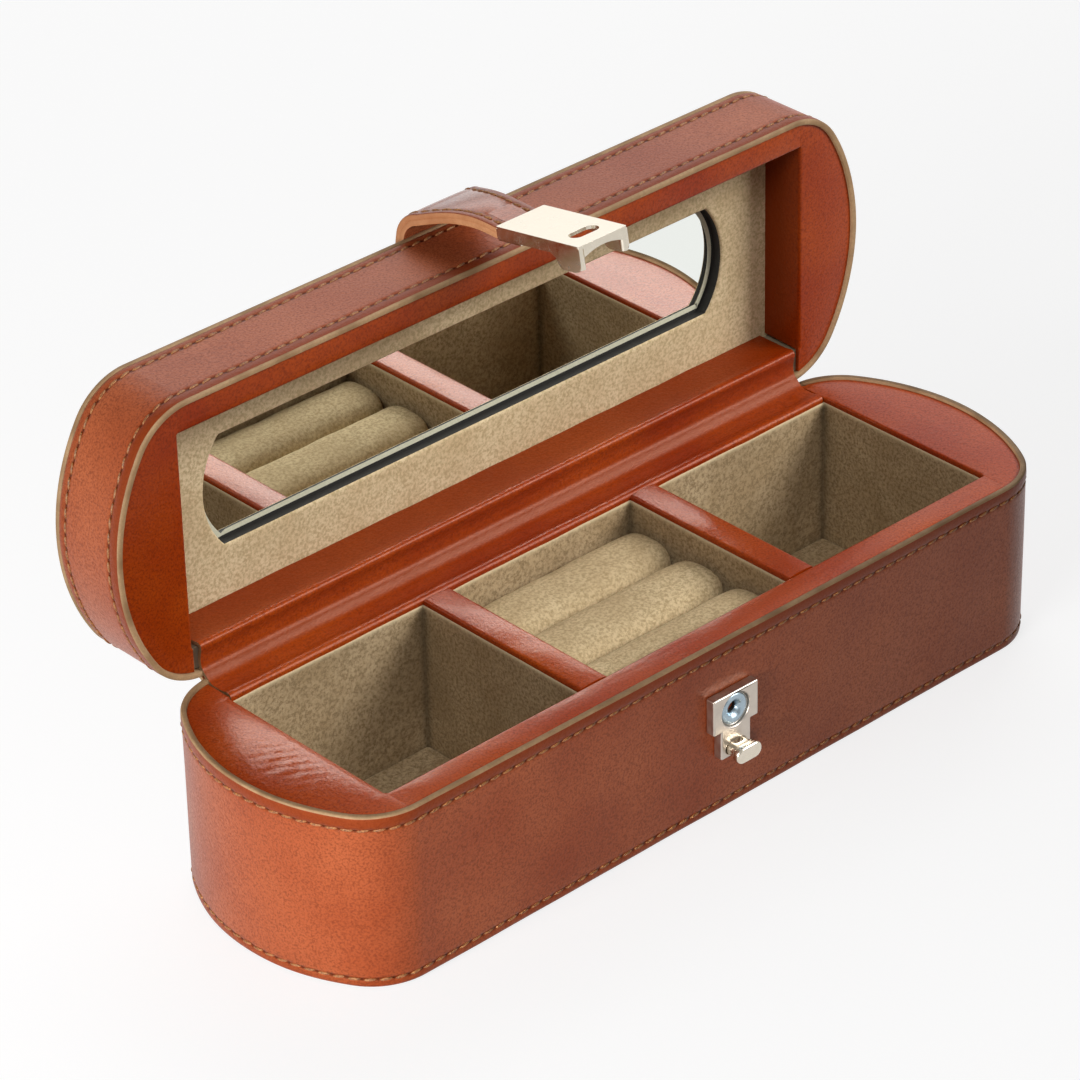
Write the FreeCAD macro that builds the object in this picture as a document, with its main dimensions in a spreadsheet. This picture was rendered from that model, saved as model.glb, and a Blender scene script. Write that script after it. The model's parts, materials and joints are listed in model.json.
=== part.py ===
import FreeCAD, Part
import Sketcher
import math
import os
from types import SimpleNamespace

# Driving dimensions in millimetres, and two angles in degrees.
# Everything is drawn shut and latched; the two angles then set the lid and the strap as they rest.
DIMENSIONS = {
    # The case as a whole
    "case_length": 260.0,
    "case_depth": 80.0,
    "base_height": 51.0,
    "lid_height": 25.0,
    "seam_gap": 0.6,
    "end_radius": 58.8,
    "corner_radius": 19.0,
    "lid_open": 90.0,
    # Leather and glue
    "wall_leather": 1.6,
    "thin_leather": 1.2,
    "glue_gap": 0.1,
    "deck_drop": 0.8,
    "lip_depth": 2.2,
    # Base boards, linings and pads
    "side_board": 7.6,
    "end_block": 20.5,
    "floor_board": 3.0,
    "divider_board": 7.1,
    "lining": 1.2,
    "floor_pad": 1.4,
    "roll_gap": 0.4,
    "roll_drop": 5.2,
    # Lid boards and mirror
    "lid_side_board": 6.2,
    "lid_end_block": 18.8,
    "lid_top_board": 3.0,
    "mirror_backing": 2.6,
    "mirror_glass": 2.0,
    "mirror_frame": 1.8,
    "mirror_overlap": 5.0,
    "window_end_margin": 16.8,
    "window_side_margin": 14.8,
    "window_rise": 6.0,
    # Hinge leathers
    "hinge_end_margin": 24.0,
    "hinge_strip": 12.3,
    "hinge_clear": 1.7,
    "fold_leather": 0.8,
    # Strike, rivet and button on the front
    "strike_drop": 14.4,
    "strike_width": 16.0,
    "strike_height": 19.1,
    "strike_depth": 3.0,
    "strike_neck_width": 10.6,
    "strike_neck_height": 8.5,
    "rivet_drop": 5.6,
    "rivet_head_radius": 4.4,
    "rivet_head": 0.8,
    "rivet_recess": 1.2,
    "rivet_rim": 0.5,
    "rivet_shank_radius": 2.4,
    "rivet_bore_radius": 1.6,
    "rivet_clinch_radius": 3.4,
    "washer_radius": 4.5,
    "washer": 0.8,
    "button_lift": 2.5,
    "button_width": 8.2,
    "button_height": 3.5,
    "button_head": 2.2,
    "button_proud": 5.2,
    "button_neck_width": 6.4,
    "button_neck_height": 2.4,
    "button_flange": 0.8,
    "button_flange_edge": 0.9,
    "slide_clearance": 0.3,
    "pocket_clearance": 0.6,
    "spring_radius": 4.7,
    "spring_strip": 0.4,
    # Strap and clasp
    "strap_leather": 3.2,
    "strap_fold_radius": 4.2,
    "strap_overhang": 0.1,
    "strap_rest": 10.0,
    "anchor_width": 27.0,
    "anchor_length": 37.0,
    "anchor_corner": 9.0,
    "fold_width": 24.0,
    "plate_width": 16.6,
    "plate_length": 31.0,
    "plate_metal": 0.9,
    "plate_grip": 6.5,
    "plate_fit": 0.1,
    "slot_clearance": 0.45,
    "slot_edge": 7.0,
    "flange_depth": 2.5,
    "leg_length": 9.0,
    "leg_width": 2.0,
    "leg_depth": 6.4,
    "clasp_lip": 1.8,
    "back_plate": 0.7,
    "back_plate_margin": 0.8,
    "back_plate_rise": 2.0,
    "pin_radius": 1.0,
    "pin_spacing": 8.0,
}

doc = FreeCAD.newDocument("leather_jewellery_case")
sheet = doc.addObject("Spreadsheet::Sheet", "dims")
for row, (alias, value) in enumerate(DIMENSIONS.items(), start=1):
    sheet.set(f"A{row}", alias.replace("_", " "))
    sheet.set(f"B{row}", str(value))
    sheet.setAlias(f"B{row}", alias)
doc.recompute()


class Size:
    """A length written as an expression of the sheet's cells."""

    def __init__(self, text):
        self.text = text

    def joined(self, sign, other):
        return Size(f"({self.text} {sign} {as_size(other).text})")

    def __add__(self, other):
        return self.joined("+", other)

    def __sub__(self, other):
        return self.joined("-", other)

    def __mul__(self, other):
        return self.joined("*", other)

    def __truediv__(self, other):
        return self.joined("/", other)

    def __neg__(self):
        return Size(f"(0 - {self.text})")

    @property
    def number(self):
        return float(sheet.evalExpression(self.text))


def as_size(value):
    return value if isinstance(value, Size) else Size(str(value))


dim = SimpleNamespace(**{alias: Size("dims." + alias) for alias in DIMENSIONS})


def bind(owner, prop, size):
    owner.setExpression(prop, as_size(size).text)


def both(half):
    """The span from -half to +half."""
    return (-half, half)


# Sketch helpers: every point, centre and radius is held by a constraint bound to the sheet.

def bound_constraint(sketch, kind, *items, size):
    index = sketch.addConstraint(Sketcher.Constraint(kind, *items, size.number))
    sketch.renameConstraint(index, f"size_{index}")
    bind(sketch, f"Constraints.size_{index}", size)


def pin_point(sketch, curve, vertex, x, y):
    bound_constraint(sketch, "DistanceX", -1, 1, curve, vertex, size=as_size(x))
    bound_constraint(sketch, "DistanceY", -1, 1, curve, vertex, size=as_size(y))


def polygon(sketch, points):
    places = [FreeCAD.Vector(as_size(x).number, as_size(y).number, 0) for x, y in points]
    first = sketch.GeometryCount
    count = len(points)
    for index in range(count):
        side = Part.LineSegment(places[index], places[(index + 1) % count])
        sketch.addGeometry(side, False)
    for index, (x, y) in enumerate(points):
        following = first + (index + 1) % count
        sketch.addConstraint(Sketcher.Constraint("Coincident", first + index, 2, following, 1))
        pin_point(sketch, first + index, 1, x, y)


def rectangle(sketch, x, y):
    polygon(sketch, [(x[0], y[0]), (x[1], y[0]), (x[1], y[1]), (x[0], y[1])])


def arc(centre, radius, start, end):
    circle = Part.Circle(FreeCAD.Vector(*centre, 0), FreeCAD.Vector(0, 0, 1), radius)
    return Part.ArcOfCircle(circle, start, end)


def stadium(sketch, width, height, y):
    """A slot shape lying along X, centred on x = 0 at the given y."""
    radius = height / 2
    reach = (width - height) / 2
    r, c, v = radius.number, reach.number, y.number
    first = sketch.GeometryCount
    sketch.addGeometry(Part.LineSegment(FreeCAD.Vector(-c, v - r, 0), FreeCAD.Vector(c, v - r, 0)))
    sketch.addGeometry(arc((c, v), r, -math.pi / 2, math.pi / 2))
    sketch.addGeometry(Part.LineSegment(FreeCAD.Vector(c, v + r, 0), FreeCAD.Vector(-c, v + r, 0)))
    sketch.addGeometry(arc((-c, v), r, math.pi / 2, math.pi * 3 / 2))
    for index in range(4):
        following = first + (index + 1) % 4
        sketch.addConstraint(Sketcher.Constraint("Tangent", first + index, 2, following, 1))
    for curve, x in ((first + 1, reach), (first + 3, -reach)):
        pin_point(sketch, curve, 3, x, y)
        bound_constraint(sketch, "Radius", curve, size=radius)


def circle(sketch, radius, y):
    ring = Part.Circle(FreeCAD.Vector(0, y.number, 0), FreeCAD.Vector(0, 0, 1), radius.number)
    index = sketch.addGeometry(ring, False)
    pin_point(sketch, index, 3, 0, y)
    bound_constraint(sketch, "Radius", index, size=radius)


def case_outline(name, inset):
    """The plan of the case: straight sides, shallow end arcs and four tangent corner arcs."""
    half_depth = dim.case_depth / 2 - inset
    end_radius = dim.end_radius - inset
    corner_radius = dim.corner_radius - inset
    end_centre = dim.case_length / 2 - dim.end_radius

    h, r_end, r_corner, cx = (s.number for s in (half_depth, end_radius, corner_radius, end_centre))
    corner_y = h - r_corner
    corner_x = cx + math.sqrt((r_end - r_corner) ** 2 - corner_y ** 2)
    turn = math.atan2(corner_y, corner_x - cx)
    right, left = math.pi / 2, math.pi

    sketch = doc.addObject("Sketcher::SketchObject", name)
    front = Part.LineSegment(FreeCAD.Vector(-corner_x, -h, 0), FreeCAD.Vector(corner_x, -h, 0))
    back = Part.LineSegment(FreeCAD.Vector(corner_x, h, 0), FreeCAD.Vector(-corner_x, h, 0))
    for curve in (
        front,
        arc((corner_x, -corner_y), r_corner, -right, -turn),
        arc((cx, 0), r_end, -turn, turn),
        arc((corner_x, corner_y), r_corner, turn, right),
        back,
        arc((-corner_x, corner_y), r_corner, right, left - turn),
        arc((-cx, 0), r_end, left - turn, left + turn),
        arc((-corner_x, -corner_y), r_corner, left + turn, left + right),
    ):
        sketch.addGeometry(curve, False)
    count = sketch.GeometryCount
    for index in range(count):
        following = (index + 1) % count
        sketch.addConstraint(Sketcher.Constraint("Tangent", index, 2, following, 1))
    for line, side in ((0, -half_depth), (4, half_depth)):
        sketch.addConstraint(Sketcher.Constraint("Horizontal", line))
        bound_constraint(sketch, "DistanceY", -1, 1, line, 1, size=side)
    for corner in (1, 3, 5, 7):
        bound_constraint(sketch, "Radius", corner, size=corner_radius)
    for end, centre in ((2, end_centre), (6, -end_centre)):
        bound_constraint(sketch, "Radius", end, size=end_radius)
        pin_point(sketch, end, 3, centre, 0)
    return sketch


# Solids: blocks and rods in the shut frame, prisms on a sketch, and booleans of them.

def block(x, y, z):
    """A box from three (low, high) spans."""
    box = doc.addObject("Part::Box", "block")
    for prop, axis, (low, high) in zip(("Length", "Width", "Height"), "xyz", (x, y, z)):
        bind(box, prop, as_size(high) - low)
        bind(box, "Placement.Base." + axis, low)
    return box


TURNS = {
    "X": FreeCAD.Rotation(FreeCAD.Vector(0, 1, 0), 90),
    "Y": FreeCAD.Rotation(FreeCAD.Vector(1, 0, 0), -90),
    "Z": FreeCAD.Rotation(),
}


def rod(axis, radius, x, y, z):
    """A cylinder along one axis; the span on that axis is its (low, high) pair."""
    cylinder = doc.addObject("Part::Cylinder", "rod")
    places = dict(X=x, Y=y, Z=z)
    low, high = places[axis]
    places[axis] = low
    cylinder.Placement.Rotation = TURNS[axis]
    bind(cylinder, "Radius", radius)
    bind(cylinder, "Height", as_size(high) - low)
    for name, place in places.items():
        bind(cylinder, "Placement.Base." + name.lower(), place)
    return cylinder


def prism(sketch, span, direction=(0, 0, 1)):
    """The sketch drawn out along a direction, between two distances from its plane."""
    solid = doc.addObject("Part::Extrusion", "prism")
    solid.Base = sketch
    solid.DirMode = "Custom"
    solid.Dir = FreeCAD.Vector(*direction)
    solid.Solid = True
    low, high = span
    bind(solid, "LengthFwd", high)
    bind(solid, "LengthRev", -as_size(low))
    return solid


def fuse(*solids):
    whole = doc.addObject("Part::MultiFuse", "fuse")
    whole.Shapes = list(solids)
    whole.Refine = True
    return whole


def common(*solids):
    shared = doc.addObject("Part::MultiCommon", "common")
    shared.Shapes = list(solids)
    return shared


def cut(base, *tools):
    result = base
    for tool in tools:
        rest = doc.addObject("Part::Cut", "cut")
        rest.Base = result
        rest.Tool = tool
        result = rest
    return result


def pad(body, name, face, thickness, draw, inward=False):
    """A pad drawn on a plane square to Y, at the given distance in front of y = 0."""
    plane = next(part for part in body.Origin.OriginFeatures if part.Role == "XZ_Plane")
    sketch = body.newObject("Sketcher::SketchObject", name + "_sketch")
    sketch.AttachmentSupport = [(plane, "")]
    sketch.MapMode = "FlatFace"
    bind(sketch, "AttachmentOffset.Base.z", face)
    draw(sketch)
    feature = body.newObject("PartDesign::Pad", name)
    feature.Profile = sketch
    feature.Reversed = inward
    bind(feature, "Length", thickness)
    doc.recompute()
    return feature


# Levels and faces shared by the pieces, in the shut frame.
# The origin is the middle of the bottom, X runs along the case and -Y is the front.
half_length = dim.case_length / 2
half_depth = dim.case_depth / 2
shell = dim.wall_leather + dim.glue_gap
board_depth = half_depth - shell
depth_span = both(half_depth)

floor_low = dim.wall_leather
floor_top = floor_low + dim.floor_board
pad_top = floor_top + dim.floor_pad
deck_top = dim.base_height - dim.deck_drop
board_top = deck_top - dim.thin_leather
lip_low = board_top - dim.lip_depth

board_x = half_length - shell - dim.end_block
board_y = board_depth - dim.side_board
lip_x = board_x - dim.thin_leather
lip_y = board_y - dim.thin_leather
well_y = board_y - dim.lining
well_length = ((board_x - dim.lining) * 2 - (dim.divider_board + dim.lining * 2) * 2) / 3
well_pitch = well_length + dim.divider_board + dim.lining * 2

lid_low = dim.base_height + dim.seam_gap
lid_top = lid_low + dim.lid_height
lid_deck = lid_low + dim.deck_drop
lid_board_low = lid_deck + dim.thin_leather
top_board_high = lid_top - dim.wall_leather
top_board_low = top_board_high - dim.lid_top_board
glass_high = top_board_low - dim.mirror_backing
glass_low = glass_high - dim.mirror_glass
frame_low = glass_low - dim.mirror_frame
lid_board_x = half_length - shell - dim.lid_end_block
lid_board_y = board_depth - dim.lid_side_board
recess_x = lid_board_x - dim.thin_leather
recess_y = lid_board_y - dim.thin_leather

hinge_y = half_depth
hinge_z = dim.base_height + dim.seam_gap / 2

strike_top = dim.base_height - dim.strike_drop
strike_low = strike_top - dim.strike_height
strike_face = half_depth + dim.strike_depth
rivet_z = strike_top - dim.rivet_drop
button_z = strike_low + dim.button_lift

# The strap folds over the lid's front edge about this line.
strap_y = -half_depth - dim.strap_overhang
strap_z = lid_top - dim.strap_fold_radius
strap_back = half_depth + dim.strap_overhang + dim.strap_fold_radius
strap_face = strap_back + dim.strap_leather
plate_back = strap_face + dim.plate_fit
plate_low = button_z - dim.slot_edge
plate_high = plate_low + dim.plate_length


def pose_text(angle, y, z):
    """A turn about a line along X, as a placement expression."""
    turn = f"rotation(vector(1; 0; 0); 0 - {angle.text})"
    return f"placement(vector(0; 0; 0); {turn}; vector(0; {y.text}; {z.text}))"


LID_POSE = pose_text(dim.lid_open, hinge_y, hinge_z)
CLASP_POSE = LID_POSE + " * " + pose_text(dim.strap_rest, strap_y, strap_z)

pieces = []


def piece(label, solid, pose=None):
    """Names a finished sub-part and sets it as it rests."""
    solid.Label = label
    if pose:
        solid.setExpression("Placement", pose)
    pieces.append(solid)
    return solid


def posed_block(label, x, y, z, pose):
    """A plain board that rests turned with the lid."""
    corner = "; ".join(as_size(span[0]).text for span in (x, y, z))
    box = doc.addObject("Part::Box", label)
    for prop, (low, high) in zip(("Length", "Width", "Height"), (x, y, z)):
        bind(box, prop, as_size(high) - low)
    place = f"placement(vector({corner}); rotation(vector(0; 0; 1); 0))"
    return piece(label, box, f"{pose} * {place}")


outer = case_outline("outer_outline", as_size(0))
inner = case_outline("inner_outline", dim.wall_leather)
boards = case_outline("board_outline", shell)

SIDES = {"left": -1, "right": 1}


def end_span(side, inside):
    """From an inside face to past the end of the case, on the left or the right."""
    return (inside, half_length) if side > 0 else (-half_length, -inside)


# Base: bottom, floor, side boards, end blocks and the leather wall.
piece("base_bottom_leather", prism(outer, (as_size(0), floor_low)))
piece("base_floor_board", prism(boards, (floor_low, floor_top)))

flange_width = dim.button_neck_width + (dim.slide_clearance + dim.button_flange_edge) * 2
flange_height = dim.button_neck_height + (dim.slide_clearance + dim.button_flange_edge) * 2
flange_back = half_depth - dim.button_flange
pocket_floor = flange_back - dim.spring_radius - dim.glue_gap * 2


def pocket_sketch():
    """The opening behind the strike for the button's flange."""
    sketch = doc.addObject("Sketcher::SketchObject", "button_pocket")
    sketch.Placement.Rotation = FreeCAD.Rotation(FreeCAD.Vector(1, 0, 0), 90)
    clear = dim.pocket_clearance * 2
    stadium(sketch, flange_width + clear, flange_height + clear, button_z)
    return sketch


pocket = pocket_sketch()
OUTWARD = (0, -1, 0)
shank_hole = dim.rivet_shank_radius + dim.glue_gap
washer_high = board_y + dim.rivet_head + dim.washer

wall_ring = cut(
    prism(outer, (floor_low, dim.base_height)),
    prism(inner, (floor_low, dim.base_height)),
)
piece("base_wall_leather", cut(
    wall_ring,
    prism(pocket, (board_depth, half_depth), OUTWARD),
    rod("Y", shank_hole, 0, (-half_depth, -board_depth), rivet_z),
))

board_heights = (floor_top, board_top)
base_boards = prism(boards, board_heights)
piece("base_front_board", cut(
    common(base_boards, block(both(board_x), (-half_depth, -board_y), board_heights)),
    prism(pocket, (pocket_floor, half_depth), OUTWARD),
    rod("Y", shank_hole, 0, (-half_depth, -board_y), rivet_z),
    rod("Y", dim.washer_radius + dim.slide_clearance, 0, (-washer_high, -board_y), rivet_z),
))
rear_block = block(both(board_x), (board_y, half_depth), board_heights)
piece("base_rear_board", common(base_boards, rear_block))

base_decks = prism(boards, (board_top, deck_top))
for name, side in SIDES.items():
    end_block = block(end_span(side, board_x), depth_span, board_heights)
    piece(f"base_end_block_{name}", common(base_boards, end_block))
    end_lip = (lip_x, board_x) if side > 0 else (-board_x, -lip_x)
    piece(f"base_end_leather_{name}", fuse(
        common(base_decks, block(end_span(side, lip_x), depth_span, (board_top, deck_top))),
        block(end_lip, both(lip_y), (lip_low, board_top)),
    ))


# Base: dividers, wells, their suede linings and floor pads, and the ring rolls.
WELLS = {"left": -well_pitch, "middle": as_size(0), "right": well_pitch}
half_well = well_length / 2
half_board_gap = half_well + dim.lining


def rail_leather(side):
    """A rail's leather with a lip turned down into each well, on the front or the rear."""
    rail = (-half_depth, -lip_y) if side < 0 else (lip_y, half_depth)
    lip = (-board_y, -lip_y) if side < 0 else (lip_y, board_y)
    lips = []
    for centre in WELLS.values():
        lip_length = (centre - half_board_gap, centre + half_board_gap)
        lips.append(block(lip_length, lip, (lip_low, board_top)))
    rail_block = block(both(lip_x), rail, (board_top, deck_top))
    return fuse(common(base_decks, rail_block), *lips)


piece("base_front_leather", rail_leather(-1))
piece("hinge_leaf_base", rail_leather(1))

for name, side in SIDES.items():
    centre = well_pitch * side / 2
    half_board = dim.divider_board / 2
    half_cap = half_board + dim.thin_leather
    board_span = (centre - half_board, centre + half_board)
    piece(f"divider_board_{name}", block(board_span, both(board_y), board_heights))
    cap = block((centre - half_cap, centre + half_cap), both(lip_y), (lip_low, deck_top))
    piece(f"divider_cap_{name}", cut(cap, block(board_span, both(board_y), (lip_low, board_top))))

for name, centre in WELLS.items():
    sleeve_span = (centre - half_board_gap, centre + half_board_gap)
    well_span = (centre - half_well, centre + half_well)
    piece(f"lining_{name}", cut(
        block(sleeve_span, both(board_y), (floor_top, lip_low)),
        block(well_span, both(well_y), (floor_top, lip_low)),
    ))
    piece(f"floor_pad_{name}", block(well_span, both(well_y), (floor_top, pad_top)))

ROLLS = 3
roll_pitch = well_y * 2 / ROLLS
roll_radius = (roll_pitch - dim.roll_gap) / 2
roll_z = deck_top - dim.roll_drop - roll_radius
roll_span = both(half_well - dim.roll_gap)
roll_seat = roll_z - roll_radius - dim.glue_gap
seat_depth = both(well_y - dim.roll_gap)
piece("ring_pad_base", block(roll_span, seat_depth, (pad_top, roll_seat)))
for index in range(ROLLS):
    roll_y = roll_pitch * (index - (ROLLS - 1) / 2)
    piece(f"ring_roll_{index + 1}", rod("X", roll_radius, roll_span, roll_y, roll_z))


# Front fittings: strike plate, hollow rivet with its washer, sprung button.
rivet_seat = strike_face - dim.rivet_recess


def strike_profile(sketch, hole):
    half = dim.strike_width / 2
    neck = dim.strike_neck_width / 2
    shoulder = strike_low + dim.strike_neck_height
    polygon(sketch, [
        (-neck, strike_low), (neck, strike_low), (neck, shoulder), (half, shoulder),
        (half, strike_top), (-half, strike_top), (-half, shoulder), (-neck, shoulder),
    ])
    circle(sketch, hole, rivet_z)
    clear = dim.slide_clearance * 2
    stadium(sketch, dim.button_neck_width + clear, dim.button_neck_height + clear, button_z)


strike = doc.addObject("PartDesign::Body", "strike")
pad(strike, "strike_back", half_depth, rivet_seat - half_depth,
    lambda sketch: strike_profile(sketch, shank_hole))
pad(strike, "strike_front", rivet_seat, dim.rivet_recess,
    lambda sketch: strike_profile(sketch, dim.rivet_head_radius + dim.rivet_rim))
piece("strike_plate", strike)

rivet_front = rivet_seat + dim.rivet_head
clinch_back = washer_high - dim.washer
rivet_length = (-rivet_front, -board_y - dim.glue_gap)
piece("strike_rivet", cut(
    fuse(
        rod("Y", dim.rivet_head_radius, 0, (-rivet_front, -rivet_seat), rivet_z),
        rod("Y", dim.rivet_shank_radius, 0, rivet_length, rivet_z),
        rod("Y", dim.rivet_clinch_radius, 0, (-clinch_back, -board_y - dim.glue_gap), rivet_z),
    ),
    rod("Y", dim.rivet_bore_radius, 0, (-rivet_front, -board_y), rivet_z),
))
washer_span = (-washer_high, -clinch_back)
piece("rivet_washer", cut(
    rod("Y", dim.washer_radius, 0, washer_span, rivet_z),
    rod("Y", shank_hole, 0, washer_span, rivet_z),
))

button = doc.addObject("PartDesign::Body", "button")
button_face = strike_face + dim.button_proud
head_back = button_face - dim.button_head
pad(button, "button_head", head_back, dim.button_head,
    lambda sketch: stadium(sketch, dim.button_width, dim.button_height, button_z))
pad(button, "button_neck", half_depth, head_back - half_depth,
    lambda sketch: stadium(sketch, dim.button_neck_width, dim.button_neck_height, button_z))
pad(button, "button_flange", flange_back, dim.button_flange,
    lambda sketch: stadium(sketch, flange_width, flange_height, button_z))
piece("push_button", button)


def spring_bow(radius):
    """Half of a cylinder bowed towards the front, standing behind the button."""
    bow = doc.addObject("Part::Cylinder", "spring_bow")
    bow.Angle = 180
    bow.Placement.Rotation = FreeCAD.Rotation(FreeCAD.Vector(0, 0, 1), 180)
    bind(bow, "Radius", radius)
    bind(bow, "Height", dim.button_neck_height)
    bind(bow, "Placement.Base.y", -pocket_floor - dim.glue_gap)
    bind(bow, "Placement.Base.z", button_z - dim.button_neck_height / 2)
    return bow


piece("button_spring", cut(
    spring_bow(dim.spring_radius),
    spring_bow(dim.spring_radius - dim.spring_strip),
))


# Lid: top, side boards, end blocks, leathers and the framed mirror in its recess.
lid_boards = prism(boards, (lid_board_low, top_board_low))
lid_decks = prism(boards, (lid_deck, lid_board_low))
lid_heights = (lid_board_low, top_board_low)
recess_heights = (lid_board_low, frame_low)

piece("lid_top_leather", prism(outer, (top_board_high, lid_top)), LID_POSE)
piece("lid_top_board", prism(boards, (top_board_low, top_board_high)), LID_POSE)
piece("lid_wall_leather", cut(
    prism(outer, (lid_low, top_board_high)),
    prism(inner, (lid_low, top_board_high)),
), LID_POSE)
front_block = block(both(lid_board_x), (-half_depth, -lid_board_y), lid_heights)
piece("lid_front_board", common(lid_boards, front_block), LID_POSE)
rear_block = block(both(lid_board_x), (lid_board_y, half_depth), lid_heights)
piece("lid_rear_board", common(lid_boards, rear_block), LID_POSE)

for name, side in SIDES.items():
    end_block = block(end_span(side, lid_board_x), depth_span, lid_heights)
    piece(f"lid_end_block_{name}", common(lid_boards, end_block), LID_POSE)
    end_wall = (recess_x, lid_board_x) if side > 0 else (-lid_board_x, -recess_x)
    end_deck = block(end_span(side, recess_x), depth_span, (lid_deck, lid_board_low))
    piece(f"lid_end_leather_{name}", fuse(
        common(lid_decks, end_deck),
        block(end_wall, both(recess_y), recess_heights),
    ), LID_POSE)

front_rail = block(both(recess_x), (-half_depth, -recess_y), (lid_deck, lid_board_low))
piece("lid_front_leather", fuse(
    common(lid_decks, front_rail),
    block(both(lid_board_x), (-lid_board_y, -recess_y), recess_heights),
), LID_POSE)
rear_rail = block(both(recess_x), (recess_y, half_depth), (lid_deck, lid_board_low))
piece("hinge_leaf_lid", fuse(
    common(lid_decks, rear_rail),
    block(both(lid_board_x), (recess_y, lid_board_y), recess_heights),
), LID_POSE)

window_x = recess_x - dim.window_end_margin
window_y = recess_y - dim.window_side_margin
window_radius = (window_y * window_y + dim.window_rise * dim.window_rise) / (dim.window_rise * 2)
window_centre = window_x - window_radius
glass_x = window_x + dim.mirror_overlap
glass_y = window_y + dim.mirror_overlap
frame_heights = (frame_low, glass_low)
glass_heights = (glass_low, glass_high)

posed_block("mirror_backing", both(lid_board_x), both(lid_board_y),
            (glass_high, top_board_low), LID_POSE)
posed_block("mirror_glass", both(glass_x), both(glass_y), glass_heights, LID_POSE)
piece("mirror_surround", cut(
    block(both(lid_board_x), both(lid_board_y), glass_heights),
    block(both(glass_x + dim.glue_gap), both(glass_y + dim.glue_gap), glass_heights),
), LID_POSE)
window = common(
    block(both(window_x), both(window_y), frame_heights),
    fuse(
        block(both(window_centre), both(window_y), frame_heights),
        rod("Z", window_radius, window_centre, 0, frame_heights),
        rod("Z", window_radius, -window_centre, 0, frame_heights),
    ),
)
frame_panel = block(both(lid_board_x), both(lid_board_y), frame_heights)
piece("mirror_frame", cut(frame_panel, window), LID_POSE)


# Hinge: a leather strip on the back of each half, and the folds that join the halves.
strip_x = both(half_length - dim.hinge_end_margin)
strip_y = (half_depth, half_depth + dim.thin_leather)
base_strip_top = dim.base_height - dim.hinge_clear
lid_strip_low = lid_low + dim.hinge_clear
piece("back_hinge_base", block(strip_x, strip_y, (base_strip_top - dim.hinge_strip, base_strip_top)))
posed_block("back_hinge_lid", strip_x, strip_y,
            (lid_strip_low, lid_strip_low + dim.hinge_strip), LID_POSE)

# The folds are drawn as they rest, square in the angle between the base and the open lid.
fold_low = dim.base_height + dim.glue_gap
fold_back = hinge_y
fold_reach = dim.wall_leather + dim.glue_gap
piece("hinge_fold", fuse(
    block(strip_x, (fold_back - fold_reach, fold_back), (fold_low, fold_low + dim.fold_leather)),
    block(strip_x, (fold_back - dim.fold_leather, fold_back), (fold_low, fold_low + fold_reach)),
))
corner_y = (hinge_y + dim.glue_gap, hinge_y + dim.thin_leather)
corner_high = hinge_z - dim.glue_gap
outer_fold_y = hinge_y + lid_strip_low - hinge_z - dim.glue_gap
piece("back_hinge_fold", fuse(
    block(strip_x, corner_y, (base_strip_top + dim.glue_gap, corner_high)),
    block(strip_x, (corner_y[0], outer_fold_y), (hinge_z - dim.thin_leather, corner_high)),
))


# Strap: sewn to the lid's top, folding over its front edge, with the clasp on its end.
half_anchor = dim.anchor_width / 2
anchor_end = -half_depth + dim.anchor_length
corner_y = anchor_end - dim.anchor_corner
corner_x = half_anchor - dim.anchor_corner
anchor_heights = (lid_top, lid_top + dim.strap_leather)
piece("strap_anchor", fuse(
    block(both(half_anchor), (strap_y, corner_y), anchor_heights),
    block(both(corner_x), (strap_y, anchor_end), anchor_heights),
    rod("Z", dim.anchor_corner, corner_x, corner_y, anchor_heights),
    rod("Z", dim.anchor_corner, -corner_x, corner_y, anchor_heights),
), LID_POSE)


def fold_sector(radius):
    """A sector about the strap's fold line, from the lid's top round towards the front."""
    sector = doc.addObject("Part::Cylinder", "fold_sector")
    up, front, along = FreeCAD.Vector(0, 0, 1), FreeCAD.Vector(0, -1, 0), FreeCAD.Vector(1, 0, 0)
    sector.Placement.Rotation = FreeCAD.Rotation(up, front, along)
    bind(sector, "Radius", radius)
    bind(sector, "Height", dim.fold_width)
    bind(sector, "Angle", as_size(90) - dim.strap_rest)
    bind(sector, "Placement.Base.x", -dim.fold_width / 2)
    bind(sector, "Placement.Base.y", strap_y)
    bind(sector, "Placement.Base.z", strap_z)
    return sector


piece("strap_bend", cut(
    fold_sector(dim.strap_fold_radius + dim.strap_leather),
    fold_sector(dim.strap_fold_radius),
), LID_POSE)

tab_half = dim.plate_width / 2 - dim.plate_metal - dim.plate_fit * 2
tab_low = plate_high - dim.plate_grip
pin_z = plate_high - dim.plate_grip / 2
pin_places = both(dim.pin_spacing / 2)


def tab_sketch():
    sketch = doc.addObject("Sketcher::SketchObject", "strap_tab_sketch")
    sketch.Placement.Rotation = FreeCAD.Rotation(FreeCAD.Vector(1, 0, 0), 90)
    fold_half = dim.fold_width / 2
    taper_end = plate_high + dim.back_plate_rise
    polygon(sketch, [
        (-tab_half, tab_low), (tab_half, tab_low), (tab_half, taper_end),
        (fold_half, strap_z), (-fold_half, strap_z), (-tab_half, taper_end),
    ])
    return sketch


def pin_rods(radius, span):
    return [rod("Y", radius, x, span, pin_z) for x in pin_places]


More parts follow.
